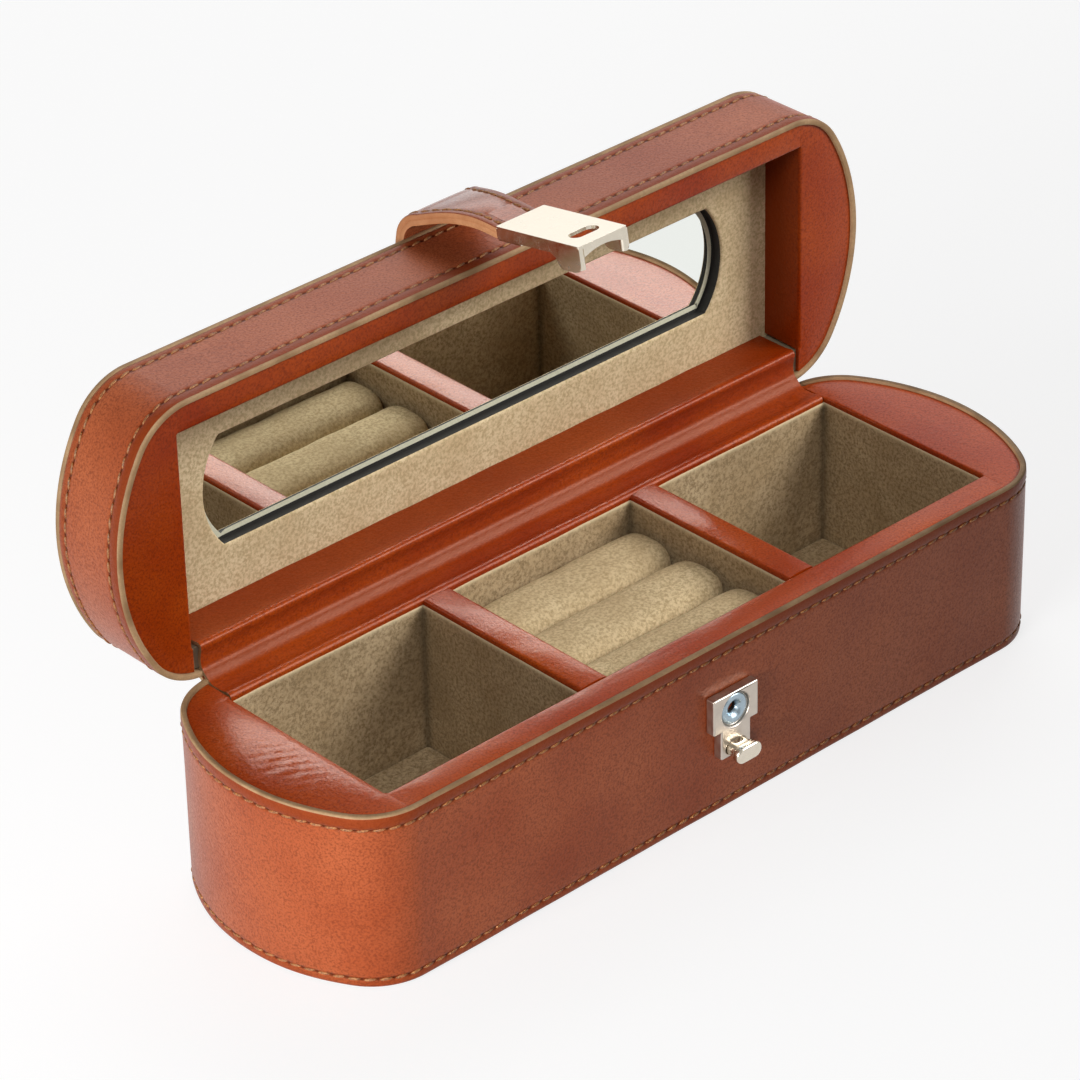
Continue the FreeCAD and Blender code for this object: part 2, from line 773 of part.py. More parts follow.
back_face = strap_back - dim.back_plate
pin_hole = dim.pin_radius + dim.glue_gap
piece("strap_tab", cut(
    prism(tab_sketch(), (strap_back, strap_face), OUTWARD),
    *pin_rods(pin_hole, (-strap_face, -strap_back)),
), CLASP_POSE)
back_half = tab_half - dim.back_plate_margin
back_span = (-strap_back, -back_face)
piece("clasp_back_plate", cut(
    block(both(back_half), back_span, (tab_low, plate_high + dim.back_plate_rise)),
    *pin_rods(pin_hole, back_span),
), CLASP_POSE)
pins = doc.addObject("Part::Compound", "pins")
pins.Links = pin_rods(dim.pin_radius, (-plate_back, -back_face))
piece("clasp_pins", pins, CLASP_POSE)

clasp = doc.addObject("PartDesign::Body", "clasp")
half_plate = dim.plate_width / 2


def plate_face(sketch):
    rectangle(sketch, both(half_plate), (plate_low, plate_high))
    clear = dim.slot_clearance * 2
    stadium(sketch, dim.button_width + clear, dim.button_height + clear, button_z)


def side_strips(width, high):
    """Draws a strip along each side of the plate, from its lower edge up."""
    def draw(sketch):
        rectangle(sketch, (-half_plate, width - half_plate), (plate_low, high))
        rectangle(sketch, (half_plate - width, half_plate), (plate_low, high))
    return draw


def lower_strip(sketch):
    rectangle(sketch, both(half_plate), (plate_low, plate_low + dim.plate_metal))


pad(clasp, "clasp_face", plate_back, dim.plate_metal, plate_face)
pad(clasp, "clasp_flanges", plate_back, dim.flange_depth,
    side_strips(dim.plate_metal, plate_high), inward=True)
pad(clasp, "clasp_legs", plate_back, dim.leg_depth,
    side_strips(dim.leg_width, plate_low + dim.leg_length), inward=True)
pad(clasp, "clasp_lip_pad", plate_back, dim.clasp_lip, lower_strip, inward=True)
piece("clasp_plate", clasp, CLASP_POSE)


doc.recompute()
failed = [part.Name for part in doc.Objects if {"Invalid", "Error"} & set(part.State)]
failed += [part.Label for part in pieces if part.Shape.isNull() or not part.Shape.isValid()]
if failed:
    raise RuntimeError("These did not build: " + ", ".join(failed))

os.makedirs("parts", exist_ok=True)
for part in pieces:
    part.Shape.exportStep(f"parts/{part.Label}.step")
print(len(pieces), "pieces written")
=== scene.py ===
import json
import math

import bmesh
import bpy
import numpy as np
from mathutils import Matrix, Vector


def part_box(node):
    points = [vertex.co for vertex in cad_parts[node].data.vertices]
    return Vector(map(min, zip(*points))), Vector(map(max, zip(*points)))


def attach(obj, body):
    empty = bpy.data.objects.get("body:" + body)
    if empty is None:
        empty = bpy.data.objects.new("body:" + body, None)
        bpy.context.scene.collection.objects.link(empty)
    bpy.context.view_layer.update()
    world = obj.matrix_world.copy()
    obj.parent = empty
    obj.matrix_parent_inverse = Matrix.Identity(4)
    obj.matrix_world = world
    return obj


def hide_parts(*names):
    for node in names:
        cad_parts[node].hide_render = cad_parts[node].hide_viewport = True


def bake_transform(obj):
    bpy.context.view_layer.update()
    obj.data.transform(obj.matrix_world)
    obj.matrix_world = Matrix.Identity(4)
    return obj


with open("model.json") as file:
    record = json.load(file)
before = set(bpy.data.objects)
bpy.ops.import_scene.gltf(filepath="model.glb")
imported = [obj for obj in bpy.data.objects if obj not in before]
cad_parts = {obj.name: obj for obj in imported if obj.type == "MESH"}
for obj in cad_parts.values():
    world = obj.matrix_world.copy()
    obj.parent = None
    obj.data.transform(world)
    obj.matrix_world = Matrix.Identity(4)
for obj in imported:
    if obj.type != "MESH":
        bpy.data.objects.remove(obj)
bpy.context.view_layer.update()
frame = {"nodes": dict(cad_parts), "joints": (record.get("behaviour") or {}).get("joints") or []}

# Base wall
# One strip of 1.6 mm vegetable-tanned cowhide, dyed cognac and glazed, goes round the base and is sewn along
# both edges. Its upper edge is left cut, so that the hide's tan core shows as a rim above the inner leathers.
MM = 0.001
HALF_LENGTH = 130.0
HALF_DEPTH = 40.0
END_RADIUS = 58.8
CORNER_RADIUS = 19.0
HIDE = 1.6
END_X = HALF_LENGTH - END_RADIUS
CORNER_Y = HALF_DEPTH - CORNER_RADIUS
CORNER_X = END_X + math.sqrt((END_RADIUS - CORNER_RADIUS) ** 2 - CORNER_Y ** 2)
CORNER_TURN = math.atan2(CORNER_Y, CORNER_X - END_X)
STITCH_PITCH = 4.0
STEPS_PER_STITCH = 6
WALL_WAVE = 0.12
RIM_PUFF = 0.16


def corners(node):
    """A CAD node's lowest and highest corners at rest, in millimetres."""
    low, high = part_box(node)
    return np.array(low) / MM, np.array(high) / MM


def linear(colour):
    """An sRGB hex colour as linear RGBA."""
    parts = [int(colour[i:i + 2], 16) / 255 for i in (1, 3, 5)]
    return [c / 12.92 if c <= 0.04045 else ((c + 0.055) / 1.055) ** 2.4 for c in parts] + [1.0]


def add(tree, kind, inputs, **settings):
    """Adds a node with its settings, then gives each input its value or its link."""
    node = tree.nodes.new(kind)
    for name, value in settings.items():
        setattr(node, name, value)
    for name, value in inputs.items():
        if isinstance(value, bpy.types.NodeSocket):
            tree.links.new(value, node.inputs[name])
        else:
            node.inputs[name].default_value = value
    return node


def finish_of(name):
    """An empty node material, its tree, and the Object coordinates that its patterns are drawn on."""
    material = bpy.data.materials.new(name)
    material.use_nodes = True
    material.node_tree.nodes.clear()
    return material, material.node_tree, add(material.node_tree, "ShaderNodeTexCoord", {}).outputs["Object"]


def plan(count):
    """Points round the case's outline from the middle of the back past the left end, with their outward
    normals, the distance of each along the outline, and the whole way round."""
    quarter = math.pi / 2
    bend = CORNER_RADIUS * (quarter - CORNER_TURN)
    sweep = END_RADIUS * 2 * CORNER_TURN
    runs = [
        (CORNER_X, (0, HALF_DEPTH), (-1, 0)),
        (bend, (-CORNER_X, CORNER_Y), CORNER_RADIUS, quarter),
        (sweep, (-END_X, 0), END_RADIUS, 2 * quarter - CORNER_TURN),
        (bend, (-CORNER_X, -CORNER_Y), CORNER_RADIUS, 2 * quarter + CORNER_TURN),
        (2 * CORNER_X, (-CORNER_X, -HALF_DEPTH), (1, 0)),
        (bend, (CORNER_X, -CORNER_Y), CORNER_RADIUS, 3 * quarter),
        (sweep, (END_X, 0), END_RADIUS, 4 * quarter - CORNER_TURN),
        (bend, (CORNER_X, CORNER_Y), CORNER_RADIUS, CORNER_TURN),
        (CORNER_X, (CORNER_X, HALF_DEPTH), (-1, 0)),
    ]
    total = sum(run[0] for run in runs)
    along = np.arange(count) * total / count
    points = np.zeros((count, 2))
    normals = np.zeros((count, 2))
    start = 0.0
    for run in runs:
        here = (along >= start - 1e-9) & (along < start + run[0] - 1e-9)
        step = along[here] - start
        start += run[0]
        if len(run) == 3:
            points[here] = np.array(run[1]) + step[:, None] * np.array(run[2])
            normals[here] = (0, 1 if run[2][0] < 0 else -1)
        else:
            angle = run[3] + step / run[2]
            normals[here] = np.stack([np.cos(angle), np.sin(angle)], 1)
            points[here] = np.array(run[1]) + run[2] * normals[here]
    return points, normals, along, total


def solid(name, points, faces, materials, zones=None, marks=None):
    """A piece from points in millimetres: doubles merged, faces outward, smooth but for its sharp edges."""
    mesh = bpy.data.meshes.new(name)
    mesh.from_pydata((np.asarray(points) * MM).tolist(), [], faces)
    for material in materials:
        mesh.materials.append(material)
    if zones is not None:
        mesh.polygons.foreach_set("material_index", np.asarray(zones, dtype=np.int32))
    for mark, values in (marks or {}).items():
        layer = mesh.attributes.new(mark, "FLOAT", "POINT")
        layer.data.foreach_set("value", np.asarray(values, dtype=np.float32))
    work = bmesh.new()
    work.from_mesh(mesh)
    bmesh.ops.remove_doubles(work, verts=work.verts, dist=0.002 * MM)
    bmesh.ops.recalc_face_normals(work, faces=work.faces)
    work.to_mesh(mesh)
    work.free()
    mesh.shade_smooth()
    mesh.set_sharp_from_angle(angle=math.radians(48))
    piece = bpy.data.objects.new(name, mesh)
    bpy.context.scene.collection.objects.link(piece)
    return piece


def level(flat, height):
    """Points of a plan raised to one height, or each to its own."""
    return np.column_stack([flat, np.broadcast_to(height, len(flat))])


def skin(name, loops, materials, zones=None, marks=None, around=True, along=False, cap=None):
    """A piece skinned over loops of points. around closes each loop, along joins the last loop to the first,
    and cap is the material number of the two end faces, where there are any."""
    rows = len(loops)
    size = len(loops[0])
    index = np.arange(rows * size).reshape(rows, size)
    beside = np.roll(index, -1, 1)
    quads = np.stack([index, beside, np.roll(beside, -1, 0), np.roll(index, -1, 0)], -1)
    quads = quads[:rows if along else rows - 1, :size if around else size - 1]
    kinds = np.zeros(quads.shape[:2], dtype=np.int32)
    if zones is not None:
        kinds[:] = zones
    faces = quads.reshape(-1, 4).tolist()
    kinds = kinds.ravel().tolist()
    if cap is not None:
        faces += [index[0, ::-1].tolist(), index[-1].tolist()]
        kinds += [cap, cap]
    spread = {mark: np.broadcast_to(values, (rows, size)).ravel() for mark, values in (marks or {}).items()}
    return solid(name, np.concatenate(loops), faces, materials, kinds, spread)


def fit(piece, body, slot, *nodes):
    """Hangs a piece on its body and hides the CAD nodes that it stands for. slot is not used."""
    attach(piece, body)
    if nodes:
        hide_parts(*nodes)


def hide_finish(name, deep, fair, pore, coat):
    """Glazed cowhide: the dye wanders from a deep to a fair shade over a few centimetres and is peppered at
    the scale of the pores, drawn 0.6 mm apart so that they show. The glaze lays a clear sheen over it. Along
    the seams and edges the hide is burnished, darker and duller; the same mark paints shade into the lid's
    recess and the hinge's fold. The needle holes are painted nearly black as their shade."""
    material, tree, place = finish_of(name)
    cloud = add(tree, "ShaderNodeTexNoise", {"Vector": place, "Scale": 1 / (42 * MM), "Detail": 3.0})
    cloud = add(tree, "ShaderNodeMapRange", {0: cloud.outputs[0], 1: 0.34, 2: 0.66})
    pepper = add(tree, "ShaderNodeTexNoise", {
        "Vector": place, "Scale": 1 / (0.6 * MM), "Detail": 3.0, "Roughness": 0.65})
    speck = add(tree, "ShaderNodeMapRange", {0: pepper.outputs[0], 1: 0.43, 2: 0.66, 4: 0.68})
    burnish_and_shade_share = add(tree, "ShaderNodeAttribute", {}, attribute_name="burnish_and_shade")
    hole_shade = add(tree, "ShaderNodeAttribute", {}, attribute_name="hole")
    hue = add(tree, "ShaderNodeMix", {
        0: cloud.outputs[0], 6: linear(deep), 7: linear(fair)}, data_type="RGBA")
    hue = add(tree, "ShaderNodeMix", {
        0: speck.outputs[0], 6: hue.outputs[2], 7: linear(pore)}, data_type="RGBA")
    # Burnish darkens the seams and edges; the same mark paints shade into the lid's recess and the hinge's
    # fold. The needle holes get painted shade, nearly black.
    for share, tone in ((burnish_and_shade_share, "#742803"), (hole_shade, "#2c1006")):
        hue = add(tree, "ShaderNodeMix", {
            0: share.outputs["Fac"], 6: hue.outputs[2], 7: linear(tone)}, data_type="RGBA")
    gloss = add(tree, "ShaderNodeMapRange", {0: pepper.outputs[0], 1: 0.3, 2: 0.7, 3: 0.32, 4: 0.5})
    glazed = add(tree, "ShaderNodeMapRange", {0: burnish_and_shade_share.outputs["Fac"], 3: coat, 4: 0.15 * coat})
    grain = add(tree, "ShaderNodeTexVoronoi", {
        "Vector": place, "Scale": 1 / (1.1 * MM)}, feature="SMOOTH_F1")
    relief = add(tree, "ShaderNodeMath", {
        0: grain.outputs["Distance"], 1: pepper.outputs[0]}, operation="ADD").outputs[0]
    bump = add(tree, "ShaderNodeBump", {"Strength": 0.8, "Distance": 0.07 * MM, "Height": relief})
    glaze = add(tree, "ShaderNodeBump", {"Strength": 0.4, "Distance": 0.06 * MM, "Height": relief})
    shader = add(tree, "ShaderNodeBsdfPrincipled", {
        "Base Color": hue.outputs[2], "Roughness": gloss.outputs[0], "IOR": 1.45,
        "Specular IOR Level": 0.4, "Specular Tint": linear("#ffb38a"), "Normal": bump.outputs[0],
        "Coat Weight": glazed.outputs[0], "Coat Roughness": 0.18, "Coat IOR": 1.5,
        "Coat Normal": glaze.outputs[0]})
    add(tree, "ShaderNodeOutputMaterial", {"Surface": shader.outputs[0]})
    return material


leather = hide_finish("glazed cognac cowhide", "#904020", "#a95935", "#642914", 0.12)


def cut_finish(name, dark, pale, stained):
    """Cut hide: the tan core of vegetable-tanned leather, dull and fibrous, with darker streaks where dye
    and wax have run into the fibres."""
    material, tree, place = finish_of(name)
    fibre = add(tree, "ShaderNodeTexNoise", {
        "Vector": place, "Scale": 1 / (0.9 * MM), "Detail": 4.0, "Roughness": 0.7})
    stain = add(tree, "ShaderNodeTexNoise", {"Vector": place, "Scale": 1 / (9 * MM), "Detail": 2.0})
    stain = add(tree, "ShaderNodeMapRange", {0: stain.outputs[0], 1: 0.42, 2: 0.72})
    hue = add(tree, "ShaderNodeMix", {
        0: fibre.outputs[0], 6: linear(dark), 7: linear(pale)}, data_type="RGBA")
    hue = add(tree, "ShaderNodeMix", {
        0: stain.outputs[0], 6: hue.outputs[2], 7: linear(stained)}, data_type="RGBA")
    bump = add(tree, "ShaderNodeBump", {"Strength": 0.6, "Distance": 0.08 * MM, "Height": fibre.outputs[0]})
    shader = add(tree, "ShaderNodeBsdfPrincipled", {
        "Base Color": hue.outputs[2], "Roughness": 0.72, "IOR": 1.5, "Normal": bump.outputs[0]})
    add(tree, "ShaderNodeOutputMaterial", {"Surface": shader.outputs[0]})
    return material


cut_hide = cut_finish("cut edge of hide", "#7d6042", "#bd9a70", "#80613f")


def unevenness(along, across, total):
    """The slow waves of hand-laid leather, which close round the case, between about -1 and 1."""
    turns = 2 * math.pi * along / total
    waves = np.sin(7 * turns + 0.05 * across + 1.1) + 0.7 * np.sin(13 * turns - 0.09 * across + 2.3)
    return (waves + 0.5 * np.sin(23 * turns + 0.11 * across + 0.4)) / 2.2


def seam_dent(off, along, pitch):
    """How deep a row of stitches pulls the hide in, off millimetres to its side, deepest at the holes."""
    return 0.34 * np.exp(-(off / 0.62) ** 2) * (0.68 + 0.32 * np.cos(2 * math.pi * along / pitch))


def needle_hole_shade(off, along, pitch):
    """How much painted shade darkens the needle holes of a row of stitches, off millimetres to the side of
    it.
    """
    return 0.9 * np.exp(-(off / 0.45) ** 2) * np.clip(np.cos(2 * math.pi * along / pitch), 0, 1) ** 2


def wall(height, seams):
    """A wall's closed cross-section: insets, distances from the rim, and the number of its first cut face."""
    near = np.array([-1.8, -1.25, -0.85, -0.55, -0.28, 0, 0.28, 0.55, 0.85, 1.25, 1.8])
    plain = np.linspace(0.5, height - 0.6, round(height / 2.4))
    rows = np.concatenate([plain] + [seam + near for seam in seams])
    rows = np.unique(np.round(np.clip(rows, 0.5, height - 0.6), 2))[::-1]
    foot = [(HIDE, height - 0.3), (HIDE - 0.3, height), (0.35, height), (0.1, height - 0.15)]
    rim = [(0.08, 0.22), (0.25, 0.05), (0.45, 0), (1.2, 0), (1.48, 0.1), (HIDE, 0.4), (HIDE, height / 2)]
    line = np.array(foot + [(0, row) for row in rows] + rim)
    return line[:, 0], line[:, 1], len(foot) + len(rows) - 1


def wrap(height, seams, lift):
    """A leather wall round the whole case. lift turns distances from the rim into heights."""
    round_count = STEPS_PER_STITCH * stitch_count
    points, normals, along, total = plan(round_count)
    insets, drops, first_cut = wall(height, seams)
    loops = []
    burnish_and_shade = []
    hole_shade = []
    for inset, drop in zip(insets, drops):
        outer = inset < 0.3
        depth = np.full(round_count, inset)
        dark = np.zeros(round_count)
        hole_shades = np.zeros(round_count)
        if outer:
            depth -= WALL_WAVE * unevenness(along, drop, total)
            dark += 0.75 * np.clip((seams[0] + 0.5 - drop) / 1.2, 0, 1)
            dark += 0.4 * np.clip((drop - seams[1] + 0.3) / 1.2, 0, 1)
            for seam in seams:
                depth += seam_dent(drop - seam, along, stitch_pitch)
                dark = np.maximum(dark, 0.9 * np.exp(-((drop - seam) / 0.5) ** 2))
                # Painted shade at the needle holes, nearly black.
                hole_shades = np.maximum(hole_shades, needle_hole_shade(drop - seam, along, stitch_pitch))
            depth -= RIM_PUFF * np.sin(math.pi * np.clip(drop / seams[0], 0, 1))
        loops.append(level(points - depth[:, None] * normals, lift(drop)))
        burnish_and_shade.append(dark)
        hole_shade.append(hole_shades)
    zones = np.zeros((len(loops), 1), dtype=np.int32)
    zones[first_cut:-1] = 1
    return loops, zones, {"burnish_and_shade": np.array(burnish_and_shade), "hole": np.array(hole_shade)}


outline_length = plan(8)[3]
stitch_count = round(outline_length / STITCH_PITCH)
stitch_pitch = outline_length / stitch_count
base_rim = corners("base_wall_leather")[1][2]
BASE_FOOT = 0.2
BASE_SEAMS = [4.0, base_rim - BASE_FOOT - 2.3]

loops, zones, marks = wrap(base_rim - BASE_FOOT, BASE_SEAMS, lambda drop: base_rim - drop)
base_wall = skin("base_wall", loops, [leather, cut_hide], zones, marks, along=True)
fit(base_wall, "base", "cognac_leather", "base_wall_leather")

# Base bottom
# The leather that the case stands on: one flat piece of the same hide, tucked inside the wall's lower edge
# and glued to the floor board, with its edge rounded over.
points, normals, along, total = plan(240)
loops = [
    level(points - inset * normals, height)
    for inset, height in ((3.0, 0.0), (2.2, 0.05), (1.75, 0.35), (1.7, 0.8), (1.7, HIDE - 0.1), (2.0, HIDE))
]
base_bottom = skin("base_bottom", loops, [leather], cap=0)
fit(base_bottom, "base", "cognac_leather", "base_bottom_leather")

# Base stitching
# Saddle stitches in waxed tan thread, 4 mm apart, hold the wall to the inside at its top and bottom edges.
# Each stitch dives into a hole at both ends and lies a little askew, as hand stitching does.
thread, tree, place = finish_of("waxed tan thread")
# Waxed thread: twisted strands, so light and dark alternate along each stitch; drawn 0.5 mm apart to show.
strand = add(tree, "ShaderNodeTexNoise", {"Vector": place, "Scale": 1 / (0.5 * MM), "Detail": 2.0})
strand = add(tree, "ShaderNodeMapRange", {0: strand.outputs[0], 1: 0.35, 2: 0.65})
hue = add(tree, "ShaderNodeMix", {
    0: strand.outputs[0], 6: linear("#6b3d1c"), 7: linear("#a8713e")}, data_type="RGBA")
bump = add(tree, "ShaderNodeBump", {"Strength": 0.5, "Distance": 0.06 * MM, "Height": strand.outputs[0]})
shader = add(tree, "ShaderNodeBsdfPrincipled", {
    "Base Color": hue.outputs[2], "Roughness": 0.5, "IOR": 1.5, "Normal": bump.outputs[0]})
add(tree, "ShaderNodeOutputMaterial", {"Surface": shader.outputs[0]})

STITCH_LENGTH = 3.3
THREAD_WIDTH = 0.85
STITCH_SLANT = 7.0

# The tree lays one stitch on each point, turned by the point's own "along" and "out" directions.
saddle = bpy.data.node_groups.new("saddle_stitch", "GeometryNodeTree")
stitch_inputs = {}
for label, kind, value in (
    ("Holes", "NodeSocketGeometry", None),
    ("Stitch length", "NodeSocketFloat", STITCH_LENGTH * MM),
    ("Thread width", "NodeSocketFloat", THREAD_WIDTH * MM),
    ("Slant", "NodeSocketFloat", math.radians(STITCH_SLANT)),
    ("Askew", "NodeSocketFloat", math.radians(4.0)),
    ("Seed", "NodeSocketInt", 7),
    ("Thread", "NodeSocketMaterial", None),
):
    socket = saddle.interface.new_socket(label, in_out="INPUT", socket_type=kind)
    stitch_inputs[label] = socket.identifier
    if value is not None:
        socket.default_value = value
saddle.interface.new_socket("Stitches", in_out="OUTPUT", socket_type="NodeSocketGeometry")
given = saddle.nodes.new("NodeGroupInput").outputs
bead = add(saddle, "GeometryNodeMeshUVSphere", {"Segments": 8, "Rings": 6, "Radius": 0.5})
bead_size = add(saddle, "ShaderNodeCombineXYZ", {
    0: given["Stitch length"], 1: given["Thread width"], 2: given["Thread width"]})
bead = add(saddle, "GeometryNodeTransform", {"Geometry": bead.outputs[0], "Scale": bead_size.outputs[0]})
bead = add(saddle, "GeometryNodeSetShadeSmooth", {"Geometry": bead.outputs[0]})
run = add(saddle, "GeometryNodeInputNamedAttribute", {"Name": "along"}, data_type="FLOAT_VECTOR")
rise = add(saddle, "GeometryNodeInputNamedAttribute", {"Name": "out"}, data_type="FLOAT_VECTOR")
facing = add(saddle, "FunctionNodeAxesToRotation", {
    "Primary Axis": run.outputs[0], "Secondary Axis": rise.outputs[0]}, primary_axis="X", secondary_axis="Z")
holes = add(saddle, "GeometryNodeMeshToPoints", {"Mesh": given["Holes"]})
laid = add(saddle, "GeometryNodeInstanceOnPoints", {
    "Points": holes.outputs[0], "Instance": bead.outputs[0], "Rotation": facing.outputs[0]})
least = add(saddle, "ShaderNodeMath", {0: given["Slant"], 1: given["Askew"]}, operation="SUBTRACT")
most = add(saddle, "ShaderNodeMath", {0: given["Slant"], 1: given["Askew"]}, operation="ADD")
lean = add(saddle, "FunctionNodeRandomValue", {
    2: least.outputs[0], 3: most.outputs[0], "Seed": given["Seed"]})
turn = add(saddle, "ShaderNodeCombineXYZ", {2: lean.outputs[1]})
laid = add(saddle, "GeometryNodeRotateInstances", {
    "Instances": laid.outputs[0], "Rotation": turn.outputs[0]})
laid = add(saddle, "GeometryNodeRealizeInstances", {"Geometry": laid.outputs[0]})
laid = add(saddle, "GeometryNodeSetMaterial", {"Geometry": laid.outputs[0], "Material": given["Thread"]})
add(saddle, "NodeGroupOutput", {0: laid.outputs[0]})


def sew(name, places, runs, outs, seed):
    """Stitches at these places, lying along runs and standing out along outs, as one plain mesh."""
    mesh = bpy.data.meshes.new(name)
    mesh.from_pydata((np.asarray(places) * MM).tolist(), [], [])
    for label, vectors in (("along", runs), ("out", outs)):
        layer = mesh.attributes.new(label, "FLOAT_VECTOR", "POINT")
        layer.data.foreach_set("vector", np.asarray(vectors, dtype=np.float32).ravel())
    piece = bpy.data.objects.new(name, mesh)
    bpy.context.scene.collection.objects.link(piece)
    modifier = piece.modifiers.new("stitches", "NODES")
    modifier.node_group = saddle
    modifier[stitch_inputs["Seed"]] = seed
    modifier[stitch_inputs["Thread"]] = thread
    sewn = bpy.data.meshes.new_from_object(piece.evaluated_get(bpy.context.evaluated_depsgraph_get()))
    piece.modifiers.clear()
    piece.data = sewn
    return piece


def seam_round(height, inset, facing_out):
    """Stitch places round the case at this height and inset, midway between the holes of the dents."""
    points, normals, along, total = plan(stitch_count * 2)
    points = points[1::2]
    normals = normals[1::2]
    places = level(points - inset * normals, height)
    runs = np.column_stack([-normals[:, 1], normals[:, 0], np.zeros(len(points))])
    if facing_out:
        return places, runs, level(normals, 0.0)
    return places, runs, np.tile((0, 0, 1.0), (len(points), 1))


STITCH_SINK = 0.18
seams = [seam_round(base_rim - drop, STITCH_SINK, True) for drop in BASE_SEAMS]
base_stitching = sew("base_stitching", *[np.concatenate(part) for part in zip(*seams)], seed=11)
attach(base_stitching, "base")

# End leathers of the base
# A D-shaped leather covers each solid end block. Its straight edge is turned down into the well beside it,
# and it is a little puffed over the block; the left one has creased where the case is picked up.
LINING_LEATHER = 1.15
GLUE_LINE = 0.03
FOLD_RADIUS = 0.9
WELL_LIP = 1.5
lining_hide = hide_finish("deep cognac lining hide", "#8b2a03", "#a5430b", "#5e1802", 0.12)
well_boxes = {side: corners("floor_pad_" + side) for side in ("left", "middle", "right")}
base_deck = corners("base_front_leather")[1][2]
well_end = well_boxes["right"][1][0]
well_side = well_boxes["right"][1][1]


def fold_line(edge, deck, lip, up, radius):
    """A turned-down edge as points from the lip's end up its face and round onto the top."""
    angles = np.linspace(0, math.pi / 2, 6)
    over = [(edge + radius * (1 - math.cos(a)), deck - up * radius * (1 - math.sin(a))) for a in angles]
    return [(edge, deck - up * lip), (edge, deck - up * (lip + radius) / 2)] + over


def end_leather(side, edge_x, edge_y, deck, lip, up, puff):
    """Closed cross-sections of an end leather from front to back, as loops of points. puff gives the height
    of its top over the flat, from how far across it a point lies and its place along the edge."""
    points, normals, along, total = plan(2400)
    inside = points - (HIDE + GLUE_LINE) * normals
    end = inside[inside[:, 0] > edge_x - 6]
    end = end[np.argsort(end[:, 1])]
    tip = CORNER_Y + math.sqrt((CORNER_RADIUS - HIDE - GLUE_LINE) ** 2 - (edge_x - CORNER_X) ** 2)
    loops = []
    for y in np.linspace(-tip, tip, 171):
        width = max(np.interp(y, end[:, 1], end[:, 0]) - edge_x, 0.02)
        beside_well = abs(y) < edge_y
        radius = min((FOLD_RADIUS if beside_well else 0.006), 0.4 * width)
        under = min(LINING_LEATHER, 0.8 * width)
        drop = lip if beside_well else LINING_LEATHER
        line = fold_line(edge_x, deck, drop, up, radius)
        for across in np.linspace(0, 1, 34)[1:]:
            x = edge_x + radius + (width - radius) * across
            line.append((x, deck + up * puff(across, y / tip, x, y)))
        line += [
            (edge_x + width, deck - up * LINING_LEATHER), (edge_x + under, deck - up * LINING_LEATHER),
            (edge_x + under, deck - up * max(drop, LINING_LEATHER + 0.01))]
        line = np.array(line)
        loops.append(np.column_stack([side * line[:, 0], np.full(len(line), y), line[:, 1]]))
    return loops


def creased(across, share, x, y):
    """The left end's top: puffed in the middle, with shallow handling creases that fan from the well."""
    rise = 0.95 * math.sin(math.pi * across ** 0.8) ** 0.8 * (1 - abs(share) ** 3) - 0.12 * across ** 8
    near = math.exp(-((y + 4) / 13) ** 2) * math.sin(math.pi * min(across * 1.3, 1)) ** 0.5
    folds = math.sin(1.05 * y + 0.75 * x + 1.3 * math.sin(0.5 * x)) + 0.6 * math.sin(1.7 * y - 0.9 * x)
    return rise + 0.045 * near * folds


def puffed(across, share, x, y):
    """A plain end leather's top: a low, even crown."""
    return 0.4 * math.sin(math.pi * across) * (1 - abs(share) ** 3) - 0.1 * across ** 8


for side, name, puff in ((-1, "left", creased), (1, "right", puffed)):
    loops = end_leather(side, well_end, well_side, base_deck, WELL_LIP, 1, puff)
    end_piece = skin("base_end_" + name, loops, [lining_hide], cap=0)
    fit(end_piece, "base", "cognac_leather", "base_end_leather_" + name)

# Front rail of the base
# A narrow strip of the lining leather lies along the front board between the ends, and is turned down into
# each well. It stops square at the dividers, whose caps butt against it.
FRONT_INNER = -HALF_DEPTH + HIDE + GLUE_LINE
well_spans = [(low[0], high[0]) for low, high in well_boxes.values()]


def station(x, section):
    """A cross-section in y and z, set up at a place along the case."""
    section = np.asarray(section)
    return np.column_stack([np.full(len(section), x), section])


def in_well(x):
    """Whether a place along the case is beside a well, and not beside a divider."""
    return any(low < x < high for low, high in well_spans)


def rail_stations(reach):
    """Places along a rail, close together, with a pair at each edge of a well."""
    edges = [edge + gap for span in well_spans for edge in span for gap in (-0.03, 0.03)]
    return np.array(sorted(list(np.linspace(-reach, reach, 190)) + [x for x in edges if abs(x) < reach]))


loops = []
for x in rail_stations(well_end):
    drop = WELL_LIP if in_well(x) else LINING_LEATHER
    swell = min((well_end - abs(x)) / 8.0, 1.0)
    sway = 0.07 * math.sin(x / 9.0) + 0.05 * math.sin(x / 4.1 + 1)
    line = [(-y, z) for y, z in fold_line(well_side, base_deck, drop, 1, FOLD_RADIUS)]
    line += [(-y, base_deck + swell * (crown + sway))
             for y, crown in ((31.6, 0.05), (33.2, 0.14), (35.2, 0.16), (37.2, 0.06))]
    line += [(FRONT_INNER + 0.25, base_deck - 0.02), (FRONT_INNER, base_deck - 0.25)]
    line += [
        (FRONT_INNER, base_deck - LINING_LEATHER), (-well_side - LINING_LEATHER, base_deck - LINING_LEATHER),
        (-well_side - LINING_LEATHER, base_deck - max(drop, LINING_LEATHER + 0.01))]
    loops.append(station(x, line))
base_front = skin("base_front_rail", loops, [lining_hide], cap=0)
fit(base_front, "base", "cognac_leather", "base_front_leather")
